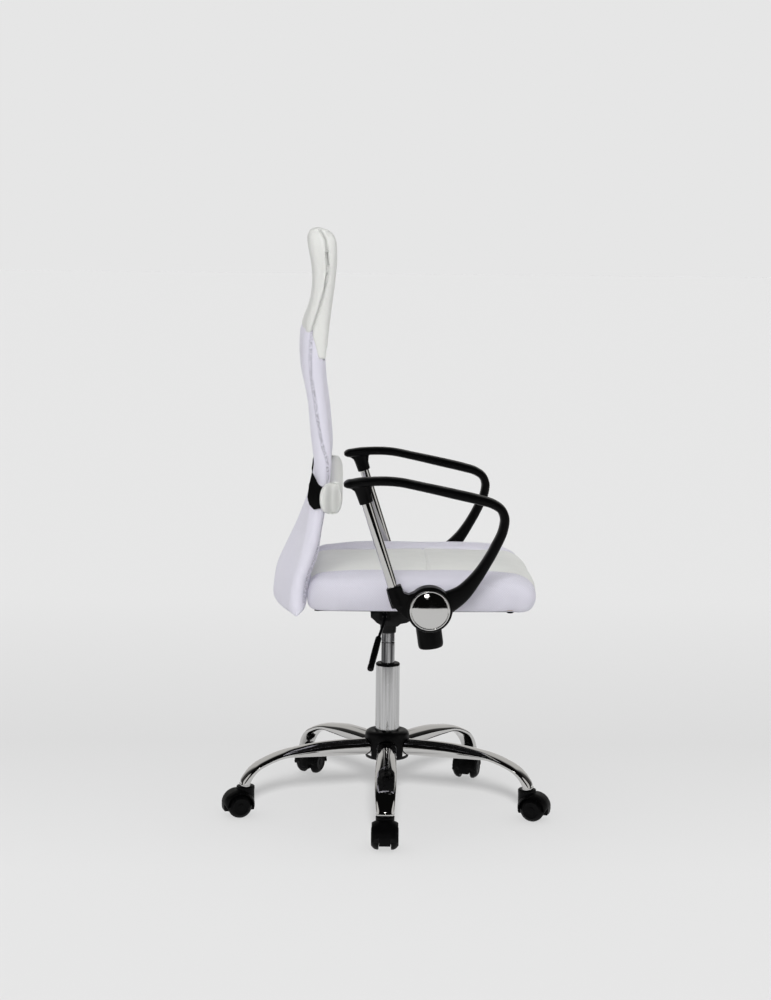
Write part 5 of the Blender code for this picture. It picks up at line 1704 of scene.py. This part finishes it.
def make_lamps(floor, around):
    """Lamps for the chair alone, and one for the floor alone, which only the base shades."""
    lamp("key", direction(-18, 27), KEY, soft=22)
    lamp("fill_front", direction(62, 16), FILL_FRONT, shadow=False)
    lamp("fill_top", Vector((0.05, -0.15, 1)).normalized(), FILL_TOP, shadow=False)
    low = direction(0, FLOOR_LAMP_RISE)
    floor_lamp = lamp("floor_key", low, FLOOR_TOP / math.sin(math.radians(FLOOR_LAMP_RISE)), soft=9)
    floor_lamp.light_linking.receiver_collection = light_linked("lit_by_floor_lamp", [floor])
    base = [ob for ob in bpy.data.objects if ob.name.startswith(("base_leg", "hub_cover_shell"))]
    floor_lamp.light_linking.blocker_collection = light_linked("shades_the_floor", base)
    solid = [ob for ob in bpy.data.objects if ob.type == "MESH" and ob not in (floor, *around)]
    chair = light_linked("lit_by_fills", solid)
    for name in ("key", "fill_front", "fill_top"):
        bpy.data.objects[name].light_linking.receiver_collection = chair


def make_stage():
    dome = dome_mesh("backdrop", 60.0, lowest=-0.3)
    backdrop = stage_object("backdrop", dome, emission("backdrop", plain), camera=True)
    dome = dome_mesh("studio", REFLECTED_R)
    walls = stage_object("studio", dome, emission("studio", studio_walls), glossy=True)
    floor = make_floor()
    make_world()
    make_lamps(floor, (backdrop, walls))


def lamp(name, towards, level, soft=5, shadow=True):
    """A distant lamp. level is what it adds to a white surface that faces it."""
    data = bpy.data.lights.new(name, "SUN")
    data.angle = math.radians(soft)
    data.energy = level * math.pi
    data.use_shadow = shadow
    ob = in_scene(name, data)
    ob.rotation_mode = "QUATERNION"
    ob.rotation_quaternion = Vector(towards).to_track_quat("Z", "Y")
    ob.location = Vector(towards) * 3
    ob.visible_glossy = False
    return ob


WORLD_LOW, WORLD_TOP = 0.52, 0.60
KEY, FILL_FRONT, FILL_TOP, FLOOR_TOP = 0.42, 0.21, 0.20, 0.80
FLOOR_GLOW = 0.315
FLOOR_LAMP_RISE = 27
# painted shade on the floor: darkest along this y, with the first colour below there and the second far from
# it
FLOOR_SHADE_DARKEST_Y = 0.54
FLOOR_PAINTED_SHADE = (0.295, 0.295, 0.295)
FLOOR_FAR = (0.350, 0.350, 0.350)
make_stage()


def make_camera():
    data = bpy.data.cameras.new("camera")
    camera = in_scene("camera", data)
    bpy.context.scene.camera = camera
    data.sensor_width = 36.0
    data.lens = 74.55
    data.clip_end = 200.0
    forward = Vector((0.01943792, 0.99167747, -0.12727122))
    right = Vector((0.99978142, -0.01829891, 0.0101127))
    up = right.cross(forward)
    camera.matrix_world = Matrix((
        (right.x, up.x, -forward.x, -0.0913),
        (right.y, up.y, -forward.y, -4.2309),
        (right.z, up.z, -forward.z, 1.1875),
        (0, 0, 0, 1),
    ))


make_camera()
bpy.context.scene.view_settings.view_transform = "Standard"
bpy.context.view_layer.update()
